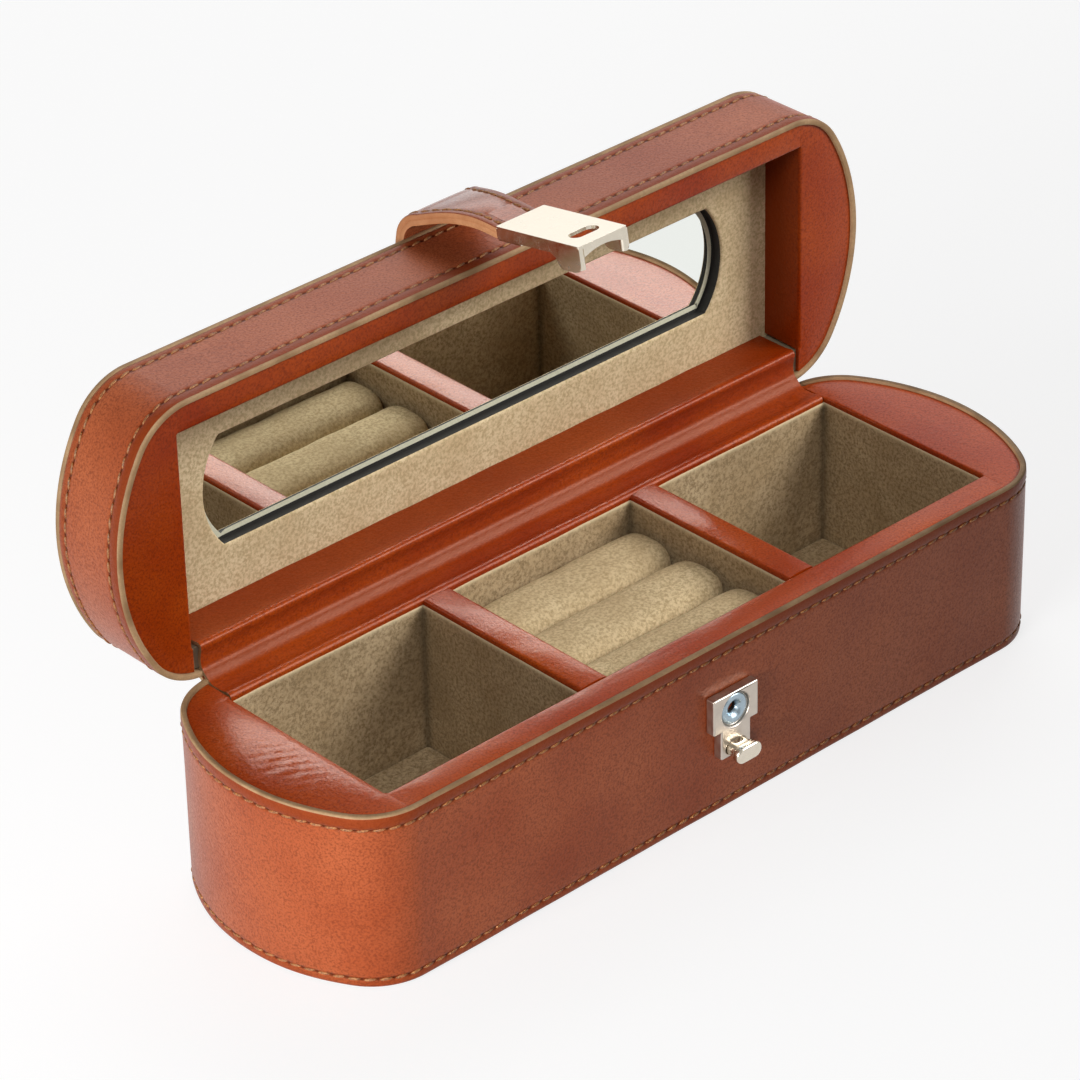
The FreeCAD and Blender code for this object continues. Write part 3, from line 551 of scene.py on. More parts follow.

# Divider caps
# A folded strip of leather caps each divider, glued down both sides; its edges are rubbed pale by use, which
# its finish does not show. The ends butt against the front rail and the hinge leather.
CAP_LIP = 1.3
for side, name in ((-1, "left"), (1, "right")):
    cap_low, cap_high = corners("divider_cap_" + name)
    middle = (cap_low[0] + cap_high[0]) / 2
    half = (cap_high[0] - cap_low[0]) / 2
    loops = []
    for y in np.linspace(-well_side, well_side, 70):
        sway = 0.08 * math.sin(y / 5.0 + side) + 0.05 * math.sin(y / 2.3)
        edge = fold_line(-half, base_deck, CAP_LIP, 1, 1.1)
        top = [(-1.8, base_deck + 0.16 + sway), (0, base_deck + 0.22 + sway), (1.8, base_deck + 0.16 + sway)]
        other = [(-x, z) for x, z in edge[::-1]]
        inner = half - LINING_LEATHER
        under = [(inner, base_deck - CAP_LIP), (inner, base_deck - LINING_LEATHER - 0.05)]
        line = np.array(edge + top + other + under + [(-x, z) for x, z in under[::-1]])
        loops.append(np.column_stack([middle + line[:, 0], np.full(len(line), y), line[:, 1]]))
    cap_piece = skin("cap_" + name, loops, [lining_hide], cap=0)
    fit(cap_piece, "base", "cognac_leather", "divider_cap_" + name)

# Suede linings
# Each well is lined with a sleeve of khaki pigskin suede glued to the boards. Its top edge shows as a pale
# line under the leather lips, and it meets itself in a tight crease at the corners, darkened with painted
# shade.
SUEDE_THICK = 0.9
SLEEVE_CORNER = 0.3
CORNER_SHADE_REACH = 1.7


def suede_finish(name, shade, mid, pale):
    """Suede: a matt brushed nap. Where it lies one way or the other it turns lighter or darker in patches. It
    is flecked at the scale of the fibre tufts, drawn 0.9 mm apart so that they show, darkened with painted
    shade near corners and pale where an edge is worn."""
    material, tree, place = finish_of(name)
    brushed = add(tree, "ShaderNodeTexNoise", {
        "Vector": place, "Scale": 1 / (17 * MM), "Detail": 4.0, "Roughness": 0.6, "Distortion": 0.6})
    brushed = add(tree, "ShaderNodeMapRange", {0: brushed.outputs[0], 1: 0.32, 2: 0.68})
    tufts = add(tree, "ShaderNodeTexNoise", {
        "Vector": place, "Scale": 1 / (0.9 * MM), "Detail": 3.0, "Roughness": 0.7})
    fleck = add(tree, "ShaderNodeMapRange", {0: tufts.outputs[0], 1: 0.41, 2: 0.62, 4: 0.85})
    hue = add(tree, "ShaderNodeMix", {
        0: brushed.outputs[0], 6: linear(mid), 7: linear(pale)}, data_type="RGBA")
    hue = add(tree, "ShaderNodeMix", {
        0: fleck.outputs[0], 6: hue.outputs[2], 7: linear(shade)}, data_type="RGBA")
    # Painted shade near corners, and a paler colour where an edge is worn.
    for mark, tone in (("corner_shade", "#4b3d29"), ("worn", "#d3c09c")):
        share = add(tree, "ShaderNodeAttribute", {}, attribute_name=mark)
        hue = add(tree, "ShaderNodeMix", {
            0: share.outputs["Fac"], 6: hue.outputs[2], 7: linear(tone)}, data_type="RGBA")
    nap = add(tree, "ShaderNodeBump", {"Strength": 0.8, "Distance": 0.12 * MM, "Height": tufts.outputs[0]})
    shader = add(tree, "ShaderNodeBsdfPrincipled", {
        "Base Color": hue.outputs[2], "Roughness": 0.95, "IOR": 1.45, "Specular IOR Level": 0.2,
        "Normal": nap.outputs[0], "Sheen Weight": 0.2, "Sheen Roughness": 0.45,
        "Sheen Tint": linear("#d8c8a4")})
    add(tree, "ShaderNodeOutputMaterial", {"Surface": shader.outputs[0]})
    return material


suede = suede_finish("khaki suede", "#806b4d", "#a68e6b", "#bda683")


def rounded_box(low, high, radius, per_side=24, per_corner=6):
    """A rectangle with rounded corners, counter-clockwise, as points and outward normals."""
    points = []
    normals = []
    spots = [(high[0], low[1]), (high[0], high[1]), (low[0], high[1]), (low[0], low[1])]
    for number, spot in enumerate(spots):
        inward = np.sign((np.array(low) + high) / 2 - spot)
        centre = np.array(spot) + radius * inward
        start = -math.pi / 2 + number * math.pi / 2
        for angle in np.linspace(start, start + math.pi / 2, per_corner):
            normals.append((math.cos(angle), math.sin(angle)))
            points.append(centre + radius * np.array(normals[-1]))
        after = spots[(number + 1) % 4]
        goal = np.array(after) + radius * np.sign((np.array(low) + high) / 2 - after)
        begin = points[-1]
        facing = normals[-1]
        goal = goal + radius * np.array(facing)
        for share in np.linspace(0, 1, per_side + 2)[1:-1]:
            points.append(begin * (1 - share) + goal * share)
            normals.append(facing)
    return np.array(points), np.array(normals)


lining_low = corners("lining_left")[0][2]
lining_high = base_deck - CAP_LIP - 0.05
SLEEVE_PROUD = 0.3
for name, (low, high) in well_boxes.items():
    points, normals = rounded_box(low[:2] + SLEEVE_PROUD, high[:2] - SLEEVE_PROUD, SLEEVE_CORNER, 40)
    ripple = 0.10 * np.sin(points[:, 0] / 5.3 + 1) + 0.10 * np.sin(points[:, 1] / 4.1)
    spots = np.array([(x, y) for x in (low[0], high[0]) for y in (low[1], high[1])])
    from_corner = np.min(np.linalg.norm(points[:, None] - spots[None], axis=2), axis=1)
    # Painted shade, darkest where the walls meet in the corners.
    painted_corner_shade = 0.7 * np.exp(-(from_corner / CORNER_SHADE_REACH) ** 2)
    loops = []
    worn = []
    for offset, share, below, rubbed in (
        (0, 0, 0, 0), (0, 0.15, 0, 0), (0, 0.3, 0, 0), (0, 0.5, 0, 0), (0, 0.7, 0, 0), (0, 0.85, 0, 0),
        (0, 1, 1.6, 0), (0, 1, 0.9, 0.3), (0, 1, 0.4, 0.8), (0.1, 1, 0.12, 1), (0.35, 1, 0, 1),
        (0.6, 1, 0.1, 1), (SUEDE_THICK, 1, 0.4, 1), (SUEDE_THICK, 0, 0, 0)):
        sway = ripple * math.sin(math.pi * share) if offset == 0 else 0 * ripple
        height = lining_low + (lining_high - lining_low) * share - below
        loops.append(level(points + (offset + sway)[:, None] * normals, height))
        worn.append([0.7 * rubbed])
    sleeve = skin("sleeve_" + name, loops, [suede], along=True,
                  marks={"worn": np.array(worn), "corner_shade": painted_corner_shade[None, :]})
    fit(sleeve, "base", "suede", "lining_" + name)

# Floor pads
# Thin wadded pads covered in the same suede lie loose in the bottom of the wells, soft at the edges and a
# little crowned. The middle one carries the ring rolls.
PAD_EDGE = 0.6
PAD_CROWN = 0.3
PAD_CORNER = 1.0
PAD_GAP = np.array((0.5, 0.5, 0))


def cushion(low, high, edge, crown, radius):
    """Loops of a crowned pad that fills a box, from its underside up and in to the middle of its top."""
    loops = []
    shrink = min(high[0] - low[0], high[1] - low[1]) / 2
    shoulder = high[2] - crown
    arc = [(edge * (1 - math.cos(a)), shoulder - edge * (1 - math.sin(a))) for a in np.linspace(0, 1.571, 6)]
    crowned = [
        (inset, high[2] - crown * (1 - (inset / shrink)) ** 2.2)
        for inset in (edge + 0.5, edge + 1.5, 3.5, 6.0, 10.0, shrink * 0.7, shrink * 0.9)
        if inset < shrink * 0.95
    ]
    for inset, height in [(1.0, low[2]), (0.25, low[2] + 0.12), (0.0, low[2] + 0.4)] + arc + crowned:
        points, normals = rounded_box(low[:2] + inset, high[:2] - inset, max(radius - 0.5 * inset, 0.3), 24)
        sway = 0.05 * np.sin(points[:, 0] / 3.7) + 0.05 * np.sin(points[:, 1] / 3.1 + 1)
        loops.append(level(points, height + np.minimum(sway, 0)))
    return loops


for name, (low, high) in well_boxes.items():
    loops = cushion(low + PAD_GAP, high - PAD_GAP, PAD_EDGE, PAD_CROWN, PAD_CORNER)
    pad_piece = skin("cushion_" + name, loops, [suede], cap=0)
    fit(pad_piece, "base", "suede", "floor_pad_" + name)

# Ring rolls
# Three foam rolls in pale suede, its paleness partly painted light, lie side by side on a foam seat, pressed
# together so that their tops are broad and flat and only narrow slits are left for the rings. Their ends are
# tucked in round.
# Paler than the wells' suede; part of that paleness is painted light.
roll_suede_paled_for_light = suede_finish("khaki suede paled for the light on the rolls", "#9a8560", "#bba47f", "#ceb993")
ROLL_SQUARE = 3.0
ROLL_SINK = 1.25
ROLL_ROUND = 5.5
ROLL_END = 3.0
for number in (1, 2, 3):
    low, high = corners(f"ring_roll_{number}")
    middle = (low + high) / 2 - (0, 0, ROLL_SINK)
    half = (high - low) / 2 - (0.2, 0, ROLL_SINK)
    loops = []
    ends = ROLL_ROUND * (1 - np.cos(np.linspace(0.08, math.pi / 2, 14)))
    straight = np.linspace(ROLL_ROUND - half[0], half[0] - ROLL_ROUND, 60)[1:-1]
    stations = np.concatenate([ends - half[0], straight, half[0] - ends[::-1]])
    for x in stations:
        from_end = half[0] - abs(x)
        broad = (1 - max(1 - from_end / ROLL_ROUND, 0) ** 2.3) ** (1 / 2.3)
        tall = (1 - max(1 - from_end / ROLL_END, 0) ** 2.0) ** 0.5
        angles = np.linspace(0, 2 * math.pi, 64, endpoint=False)
        cosine = np.cos(angles)
        sine = np.sin(angles)
        ripple = 1 + 0.008 * np.sin(x / 4.0 + number + 2 * angles) + 0.006 * np.sin(x / 2.1 - 3 * angles)
        reach_y = (half[1] + 0.1) * np.sign(cosine) * np.abs(cosine) ** (2 / ROLL_SQUARE) * ripple
        reach_z = half[2] * np.sign(sine) * np.abs(sine) ** (2 / ROLL_SQUARE) * ripple
        loops.append(station(x, np.column_stack([
            middle[1] + reach_y * (0.35 + 0.65 * broad), middle[2] + reach_z * (0.6 + 0.4 * tall)])))
    roll = skin(f"roll_{number}", loops, [roll_suede_paled_for_light], cap=0)
    fit(roll, "base", "ring_padding", f"ring_roll_{number}")
seat_low, seat_high = corners("ring_pad_base")
seat = skin("ring_seat", cushion(seat_low, seat_high, 1.5, 0.4, 1.5), [roll_suede_paled_for_light], cap=0)
fit(seat, "base", "ring_padding", "ring_pad_base")

# Strike plate
# A nickel-plated steel T on the front board takes the clasp. Its face is set back round the rivet, its edges
# are rolled over, and a slot below lets the button through.
def nickel_finish(name, dull, bright, smooth, rough):
    """Nickel plate: a warm white metal; a faint drawn haze and hairline scuffs break up its reflections."""
    material, tree, place = finish_of(name)
    scuff = add(tree, "ShaderNodeTexNoise", {
        "Vector": place, "Scale": 1 / (2.5 * MM), "Detail": 5.0, "Roughness": 0.7})
    haze = add(tree, "ShaderNodeMapRange", {0: scuff.outputs[0], 1: 0.35, 2: 0.7, 3: smooth, 4: rough})
    tone = add(tree, "ShaderNodeMix", {
        0: scuff.outputs[0], 6: linear(dull), 7: linear(bright)}, data_type="RGBA")
    bump = add(tree, "ShaderNodeBump", {
        "Strength": 0.12, "Distance": 0.02 * MM, "Height": scuff.outputs[0]})
    shader = add(tree, "ShaderNodeBsdfPrincipled", {
        "Base Color": tone.outputs[2], "Metallic": 1.0, "Roughness": haze.outputs[0],
        "Normal": bump.outputs[0]})
    add(tree, "ShaderNodeOutputMaterial", {"Surface": shader.outputs[0]})
    return material


satin_nickel = nickel_finish("satin nickel plate", "#b3a89d", "#d2c8bc", 0.32, 0.46)


def prism(name, outline, low, high, material, axis=1):
    """A plate cut to an outline, as thick as from low to high along the axis that the outline leaves out."""
    count = len(outline)
    near = np.insert(np.asarray(outline, dtype=float), axis, low, axis=1)
    far = np.insert(np.asarray(outline, dtype=float), axis, high, axis=1)
    sides = [(i, (i + 1) % count, count + (i + 1) % count, count + i) for i in range(count)]
    ends = [tuple(range(count)), tuple(range(count, 2 * count))]
    return solid(name, np.concatenate([near, far]), ends + sides, [material])


def oval(half_x, half_z, middle_z, count=40):
    """A slot's outline with round ends, half_x being the longer half."""
    run = half_x - half_z
    angles = np.linspace(-math.pi / 2, 1.5 * math.pi, count, endpoint=False)
    return [(math.copysign(run, math.cos(a)) * (abs(math.cos(a)) > 1e-6) + half_z * math.cos(a),
             middle_z + half_z * math.sin(a)) for a in angles]


def worked(piece, joined, taken, edge, segments=3):
    """Joins plates to a metal piece, cuts others out of it, then rolls the edges that are left."""
    for other, operation in [(p, "UNION") for p in joined] + [(p, "DIFFERENCE") for p in taken]:
        step = piece.modifiers.new("cut", "BOOLEAN")
        step.operation = operation
        step.solver = "EXACT"
        step.object = other
    rolled = piece.modifiers.new("edges", "BEVEL")
    rolled.width = edge * MM
    rolled.segments = segments
    rolled.limit_method = "ANGLE"
    rolled.angle_limit = math.radians(40)
    rolled.harden_normals = True
    mesh = bpy.data.meshes.new_from_object(piece.evaluated_get(bpy.context.evaluated_depsgraph_get()))
    piece.modifiers.clear()
    piece.data = mesh
    for other in joined + taken:
        bpy.data.objects.remove(other)
    return piece


strike_low, strike_high = corners("strike_plate")
strike_back = strike_high[1]
strike_face = strike_low[1]
STRIKE_SHOULDER = 26.0
NECK_HALF = 5.3
RIVET_Z = 31.0
BUTTON_Z = 20.0
RIVET_SEAT = 1.2
SEAT_RADIUS = 4.9
strike_half = strike_high[0]
strike = prism("strike_t", [
    (-strike_half, strike_high[2]), (-strike_half, STRIKE_SHOULDER), (-NECK_HALF, STRIKE_SHOULDER),
    (-NECK_HALF, strike_low[2]), (NECK_HALF, strike_low[2]), (NECK_HALF, STRIKE_SHOULDER),
    (strike_half, STRIKE_SHOULDER), (strike_half, strike_high[2])], strike_face, strike_back, satin_nickel)
round_seat = prism("seat", oval(SEAT_RADIUS, SEAT_RADIUS - 0.001, RIVET_Z, 48), strike_face - 1,
                   strike_face + RIVET_SEAT, satin_nickel)
rivet_hole = prism("hole", oval(2.3, 2.299, RIVET_Z, 32), strike_face - 1, strike_back + 1, satin_nickel)
button_slot = prism("slot", oval(3.6, 1.6, BUTTON_Z), strike_face - 1, strike_back + 1, satin_nickel)
strike = worked(strike, [], [round_seat, rivet_hole, button_slot], 0.5)
fit(strike, "base", "nickel", "strike_plate")

# Strike rivet
# A hollow zinc-plated rivet is set through the strike and the front board, its lip spun over in the round
# seat. The zinc is bluer and duller than the nickel.
zinc, tree, place = finish_of("zinc-plated steel")
# Bright zinc: a bluish grey metal with a soft, slightly cloudy shine.
cloudy = add(tree, "ShaderNodeTexNoise", {"Vector": place, "Scale": 1 / (1.2 * MM), "Detail": 3.0})
haze = add(tree, "ShaderNodeMapRange", {0: cloudy.outputs[0], 1: 0.3, 2: 0.7, 3: 0.22, 4: 0.42})
tone = add(tree, "ShaderNodeMix", {
    0: cloudy.outputs[0], 6: linear("#8fa0ab"), 7: linear("#b6c6cf")}, data_type="RGBA")
shader = add(tree, "ShaderNodeBsdfPrincipled", {
    "Base Color": tone.outputs[2], "Metallic": 1.0, "Roughness": haze.outputs[0]})
add(tree, "ShaderNodeOutputMaterial", {"Surface": shader.outputs[0]})


def flecked_finish(name, grain, detail, dark, pale, roughness, ior):
    """A plain finish that wanders between two shades at the scale of its grain, in millimetres."""
    material, tree, place = finish_of(name)
    fleck = add(tree, "ShaderNodeTexNoise", {"Vector": place, "Scale": 1 / (grain * MM), "Detail": detail})
    hue = add(tree, "ShaderNodeMix", {
        0: fleck.outputs[0], 6: linear(dark), 7: linear(pale)}, data_type="RGBA")
    shader = add(tree, "ShaderNodeBsdfPrincipled", {
        "Base Color": hue.outputs[2], "Roughness": roughness, "IOR": ior})
    add(tree, "ShaderNodeOutputMaterial", {"Surface": shader.outputs[0]})
    return material


# Down the bore: dull steel with rusty patches, painted nearly black as the shade of the deep hole.
bore_shade = flecked_finish("steel painted dark for the bore's shade", 0.8, 2.0, "#141312", "#3a332c", 0.7, 1.5)

seat_y = strike_face + RIVET_SEAT
RIVET_PROFILE = [
    (0.02, 3.6), (2.2, 3.6), (2.2, -0.02), (4.45, -0.02), (4.5, -0.25), (4.4, -0.5), (4.0, -0.72),
    (3.5, -0.8), (3.0, -0.72), (2.5, -0.45), (2.05, 0.0), (1.7, 0.5), (1.5, 0.9), (1.45, 1.2),
    (1.4, 3.1), (0.02, 3.1)]
turns = np.linspace(0, 2 * math.pi, 40, endpoint=False)
loops = [
    np.column_stack([radius * np.cos(turns), np.full(40, seat_y + depth), RIVET_Z + radius * np.sin(turns)])
    for radius, depth in RIVET_PROFILE]
zones = np.zeros((len(loops) - 1, 1), dtype=np.int32)
# The last rows, down the bore, take its painted shade.
zones[-3:] = 1
rivet = skin("rivet_lip", loops, [zinc, bore_shade], zones, cap=1)
fit(rivet, "base", "zinc_steel", "strike_rivet")

# Push button
# The sprung nickel button that the clasp's slot snaps over: a flat stem with an oval head, its front edge
# chamfered so that the slot rides over it.
nickel = nickel_finish("polished nickel plate", "#d0c6b4", "#e8dfcf", 0.16, 0.30)
button_low, button_high = corners("push_button")
head_half_x = button_high[0]
head_half_z = (button_high[2] - button_low[2]) / 2
button_face = button_low[1]
HEAD_DEPTH = 2.2
STEM_IN = 0.75
head_back = button_face + HEAD_DEPTH
BUTTON_PROFILE = [
    (-3.0, -1.0, strike_face + STEM_IN), (-1.0, -0.55, strike_face + STEM_IN),
    (-0.9, -0.55, head_back + 0.35), (-0.55, -0.4, head_back + 0.1),
    (-0.15, -0.15, head_back), (0, 0, head_back - 0.25), (0, 0, button_face + 0.7),
    (-0.12, -0.12, button_face + 0.35), (-0.4, -0.4, button_face + 0.1), (-0.75, -0.75, button_face),
    (-1.1, -1.05, button_face + 0.12)]
loops = []
for grow_x, grow_z, depth in BUTTON_PROFILE:
    edge = np.array(oval(head_half_x + grow_x, head_half_z + grow_z, BUTTON_Z, 44))
    loops.append(np.column_stack([edge[:, 0], np.full(44, depth), edge[:, 1]]))
button = skin("sprung_button", loops, [nickel], cap=0)
stem_slot = prism("stem slot", oval(1.75, 1.1, head_back + 2.6, 24), BUTTON_Z - 4, BUTTON_Z + 4, nickel, 2)
button = worked(button, [], [stem_slot], 0.12, 2)
fit(button, "button", "nickel", "push_button")

# Lid wall
# The lid's wall is wrapped like the base's, with its cut edge round the mouth of the lid and a row of
# stitches near either edge. Lid pieces are laid out as on the shut case, then turned up to the rest pose.
lid_hinge = next(joint for joint in frame["joints"] if joint["name"] == "lid_hinge")
hinge_y = lid_hinge["pos_m"][1] / MM
hinge_z = lid_hinge["pos_m"][2] / MM


def opened(points):
    """Points of the shut lid turned up a quarter about the hinge, to where the lid stands at rest."""
    points = np.asarray(points)
    rise = hinge_y + hinge_z - points[:, 1]
    return np.column_stack([points[:, 0], hinge_y - hinge_z + points[:, 2], rise])


def shut_corners(node):
    """A lid node's lowest and highest corners on the shut case, in millimetres."""
    low, high = corners(node)
    return (np.array([low[0], hinge_y + hinge_z - high[2], hinge_z + low[1] - hinge_y]),
            np.array([high[0], hinge_y + hinge_z - low[2], hinge_z + high[1] - hinge_y]))


lid_rim = shut_corners("lid_wall_leather")[0][2]
lid_shoulder = shut_corners("lid_wall_leather")[1][2]
lid_top = shut_corners("lid_top_leather")[1][2]
LID_SEAMS = [4.0, lid_top - 4.0 - lid_rim]
loops, zones, marks = wrap(lid_shoulder - lid_rim, LID_SEAMS, lambda drop: lid_rim + drop)
lid_wall = skin("lid_wall", [opened(loop) for loop in loops], [leather, cut_hide], zones, marks, along=True)
fit(lid_wall, "lid", "cognac_leather", "lid_wall_leather")

# Lid top
# The top is one piece of hide laid over the board and sewn 4 mm in from its edge, which is cut and left
# raw so that a tan line runs round the lid.
TOP_SEAM = 4.0
top_rows = [
    (3.0, lid_shoulder + 0.02, 0), (0.45, lid_shoulder + 0.02, 1), (0.1, lid_shoulder + 0.2, 1),
    (0, lid_shoulder + 0.5, 1), (0, lid_top - 0.45, 1), (0.12, lid_top - 0.15, 1), (0.4, lid_top - 0.02, 0)]
near_seam = (2.75, 3.15, 3.45, 3.72, TOP_SEAM, 4.28, 4.55, 4.85, 5.25)
for inset in (0.8, 1.4, 2.2, *near_seam, 5.8, 7.5, 10.0, 13.0, 16.0):
    top_rows.append((inset, lid_top + 0.35 * min(max(inset - TOP_SEAM, 0) / 10, 1) ** 0.7, 0))
count = STEPS_PER_STITCH * stitch_count
points, normals, along, total = plan(count)
loops = []
burnish_and_shade = []
for inset, height, cut in top_rows:
    dent = seam_dent(inset - TOP_SEAM, along, stitch_pitch) if height > lid_top - 0.05 else 0 * along
    puff = 0.14 * math.sin(math.pi * min(inset / TOP_SEAM, 1)) if height > lid_top - 0.05 else 0
    loops.append(opened(level(points - inset * normals, height - dent + puff)))
    dark = 0.7 * min(max((TOP_SEAM + 0.6 - inset) / 1.2, 0), 1)
    burnish_and_shade.append(np.full(count, max(dark, 0.8 * math.exp(-((inset - TOP_SEAM) / 0.5) ** 2))))
zones = np.array([[row[2]] for row in top_rows[:-1]])
lid_cover = skin("lid_top", loops, [leather, cut_hide], zones, {"burnish_and_shade": np.array(burnish_and_shade)}, cap=0)
fit(lid_cover, "lid", "cognac_leather", "lid_top_leather")

# Lid stitching
# Three rows of the same saddle stitches in waxed tan thread: two go through the lid's wall, near its edges,
# and one goes through the top into the board under it.
seams = [seam_round(lid_rim + drop, STITCH_SINK, True) for drop in LID_SEAMS]
seams.append(seam_round(lid_top - STITCH_SINK, TOP_SEAM, False))
places, runs, outs = [np.concatenate(part) for part in zip(*seams)]
upright = opened(np.zeros((1, 3)))
lid_stitching = sew(
    "lid_stitching", opened(places), opened(runs) - upright, opened(outs) - upright, seed=23)
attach(lid_stitching, "lid")

# Mouth leathers of the lid
# The lid's rim is covered like the base's: a D at each end and a rail along the front, all turned into the
# mirror recess as its walls.
lid_deck = shut_corners("lid_front_leather")[0][2]
recess_depth = shut_corners("lid_front_leather")[1][2] - lid_deck
recess_x = shut_corners("lid_end_leather_right")[0][0]
recess_y = shut_corners("hinge_leaf_lid")[0][1]
for side, name in ((-1, "left"), (1, "right")):
    loops = end_leather(side, recess_x, recess_y, lid_deck, recess_depth, -1, puffed)
    # Painted shade: the D darkens as it turns down into the mirror recess.
    dark = 0.9 * np.clip((np.array([loop[:, 2] for loop in loops]) - lid_deck - 0.6) / 1.5, 0, 1)
    loops = [opened(loop) for loop in loops]
    end_piece = skin("lid_end_" + name, loops, [lining_hide], marks={"burnish_and_shade": dark}, cap=0)
    fit(end_piece, "lid", "cognac_leather", "lid_end_leather_" + name)
loops = []
for x in np.linspace(-recess_x, recess_x, 190):
    swell = min((recess_x - abs(x)) / 8.0, 1.0)
    sway = (0.1 + 0.06 * math.sin(x / 8.0 + 2) + 0.05 * math.sin(x / 3.7)) * swell
    line = [(-y, z) for y, z in fold_line(recess_y, lid_deck, recess_depth, -1, FOLD_RADIUS)]
    line += [(-y, lid_deck - sway) for y in (33.4, 35.0, 36.6)]
    line += [(FRONT_INNER + 0.25, lid_deck + 0.02), (FRONT_INNER, lid_deck + 0.25)]
    line += [
        (FRONT_INNER, lid_deck + LINING_LEATHER), (-recess_y - LINING_LEATHER, lid_deck + LINING_LEATHER),
        (-recess_y - LINING_LEATHER, lid_deck + recess_depth)]
    loops.append(opened(station(x, line)))
lid_front = skin("lid_front_rail", loops, [lining_hide], cap=0)
fit(lid_front, "lid", "cognac_leather", "lid_front_leather")

# Mirror panel
# A stiff card covered in pale suede, its paleness partly painted light, fills the recess. Its window has
# straight long sides and bowed ends; the suede is turned over the window's front edge, and the cut card
# inside it is black, partly painted shade for that narrow edge.
# Paler than the wells' suede; part of that paleness is painted light.
panel_suede_paled_for_light = suede_finish("khaki suede paled for the light on the panel", "#ad9770", "#ccb48d", "#dcc8a2")
# Black card: matt, with a faint grey fibre. Round the window it is also painted shade for the narrow gap
# between the panel and the glass.
black_card_and_gap_shade = flecked_finish("black card and gap shade", 0.8, 3.0, "#0e0c0a", "#24211c", 0.7, 1.5)

WINDOW_X = 91.5
WINDOW_Y = 16.1
WINDOW_RADIUS = 24.6
panel_low, panel_high = shut_corners("mirror_frame")
window_centre = WINDOW_X - WINDOW_RADIUS
window_turn = math.asin(WINDOW_Y / WINDOW_RADIUS)
window_run = window_centre + WINDOW_RADIUS * math.cos(window_turn)


def window_line():
    """The window's edge, its outward normals, and the matching points on the panel's outer edge."""
    shares = np.linspace(0, 1, 60, endpoint=False)
    turns = np.linspace(-window_turn, window_turn, 30, endpoint=False)
    rises = np.linspace(-1, 1, 30, endpoint=False)
    edge = []
    normals = []
    border = []
    for sign in (1, -1):
        for turn, rise in zip(turns, rises):
            out = sign * np.array((math.cos(turn), math.sin(turn)))
            edge.append(sign * np.array((window_centre, 0)) + WINDOW_RADIUS * out)
            normals.append(out)
            border.append((sign * panel_high[0], sign * panel_high[1] * rise))
        for share in shares:
            edge.append((sign * window_run * (1 - 2 * share), sign * WINDOW_Y))
            normals.append((0, sign))
            border.append((sign * panel_high[0] * (1 - 2 * share), sign * panel_high[1]))
    return np.array(edge), np.array(normals), np.array(border)


edge, normals, border = window_line()
front = panel_low[2]
back = panel_high[2]
panel_rows = [
    (0.15, 0, back, 1), (0.1, 0, front + 0.8, 1), (0.0, 0, front + 0.55, 0), (0.08, 0, front + 0.32, 0),
    (0.3, 0, front + 0.14, 0), (0.7, 0, front + 0.03, 0), (1.2, 0, front, 0)]
for share in (0.12, 0.3, 0.5, 0.7, 0.9):
    panel_rows.append((1.2, share, front - 0.08 * math.sin(math.pi * share), 0))
panel_rows += [(0, 1, front + 0.1, 0), (0, 1, back, 0)]
loops = []
for offset, share, height, kind in panel_rows:
    flat = (edge + offset * normals) * (1 - share) + border * share
    loops.append(opened(level(flat, height)))
zones = np.array([[row[3]] for row in panel_rows])
mirror_panel = skin("mirror_panel", loops, [panel_suede_paled_for_light, black_card_and_gap_shade], zones, along=True)
fit(mirror_panel, "lid", "suede", "mirror_frame")

# Mirror
# A 2 mm silvered glass lies behind the panel on a black card mount, whose black is painted shade for the gap
# behind the panel. Round the window its ground and bevelled edge shows as a thin pale green line, and a black
# band on the glass outside it is painted shade for the same gap.
silver, tree, place = finish_of("silvered glass")
# Silvered float glass: a clean mirror with a trace of green, very slightly dusty.
dust = add(tree, "ShaderNodeTexNoise", {"Vector": place, "Scale": 1 / (30 * MM), "Detail": 5.0})
film = add(tree, "ShaderNodeMapRange", {0: dust.outputs[0], 1: 0.3, 2: 0.8, 3: 0.0, 4: 0.03})
shader = add(tree, "ShaderNodeBsdfPrincipled", {
    "Base Color": linear("#f3f6f1"), "Metallic": 1.0, "Roughness": film.outputs[0]})
add(tree, "ShaderNodeOutputMaterial", {"Surface": shader.outputs[0]})
# Ground edge of float glass: pale grey green and half matt.
ground_glass = flecked_finish("ground glass edge", 0.6, 2.0, "#c6c3a8", "#e4e0c8", 0.35, 1.52)

SILVER_IN = 0.15
glass_back = shut_corners("mirror_glass")[1][2]
silver_height = glass_back - SILVER_IN
# Outward from the silver face: the pale ground ring, then a black band that is painted shade for the gap
# behind the panel, then the glass's ground outer edge.
mirror_rows = [(4.0, glass_back, 1), (4.0, silver_height, 2), (-0.45, silver_height, 1),
               (-1.9, silver_height, 0)]
loops = [opened(level(edge + offset * normals, height)) for offset, height, kind in mirror_rows]
mirror = skin("mirror_pane", loops, [silver, ground_glass, black_card_and_gap_shade],
              np.array([[row[2]] for row in mirror_rows[:-1]]), cap=0)
fit(mirror, "lid", "mirror", "mirror_glass")
mount_rows = [
    (0.5, 0, back + 0.02), (0.5, 0, silver_height - 0.02), (4.0, 0, silver_height - 0.02),
    (4.2, 0, glass_back), (0, 0.97, glass_back), (0, 0.97, back + 0.02)]
loops = []
for offset, share, height in mount_rows:
    flat = (edge + offset * normals) * (1 - share) + border * share
    loops.append(opened(level(flat, height)))
# The mount's black is painted shade for the gap behind the panel.
mount = skin("mirror_mount", loops, [black_card_and_gap_shade], along=True)
fit(mount, "lid", "board", "mirror_surround")

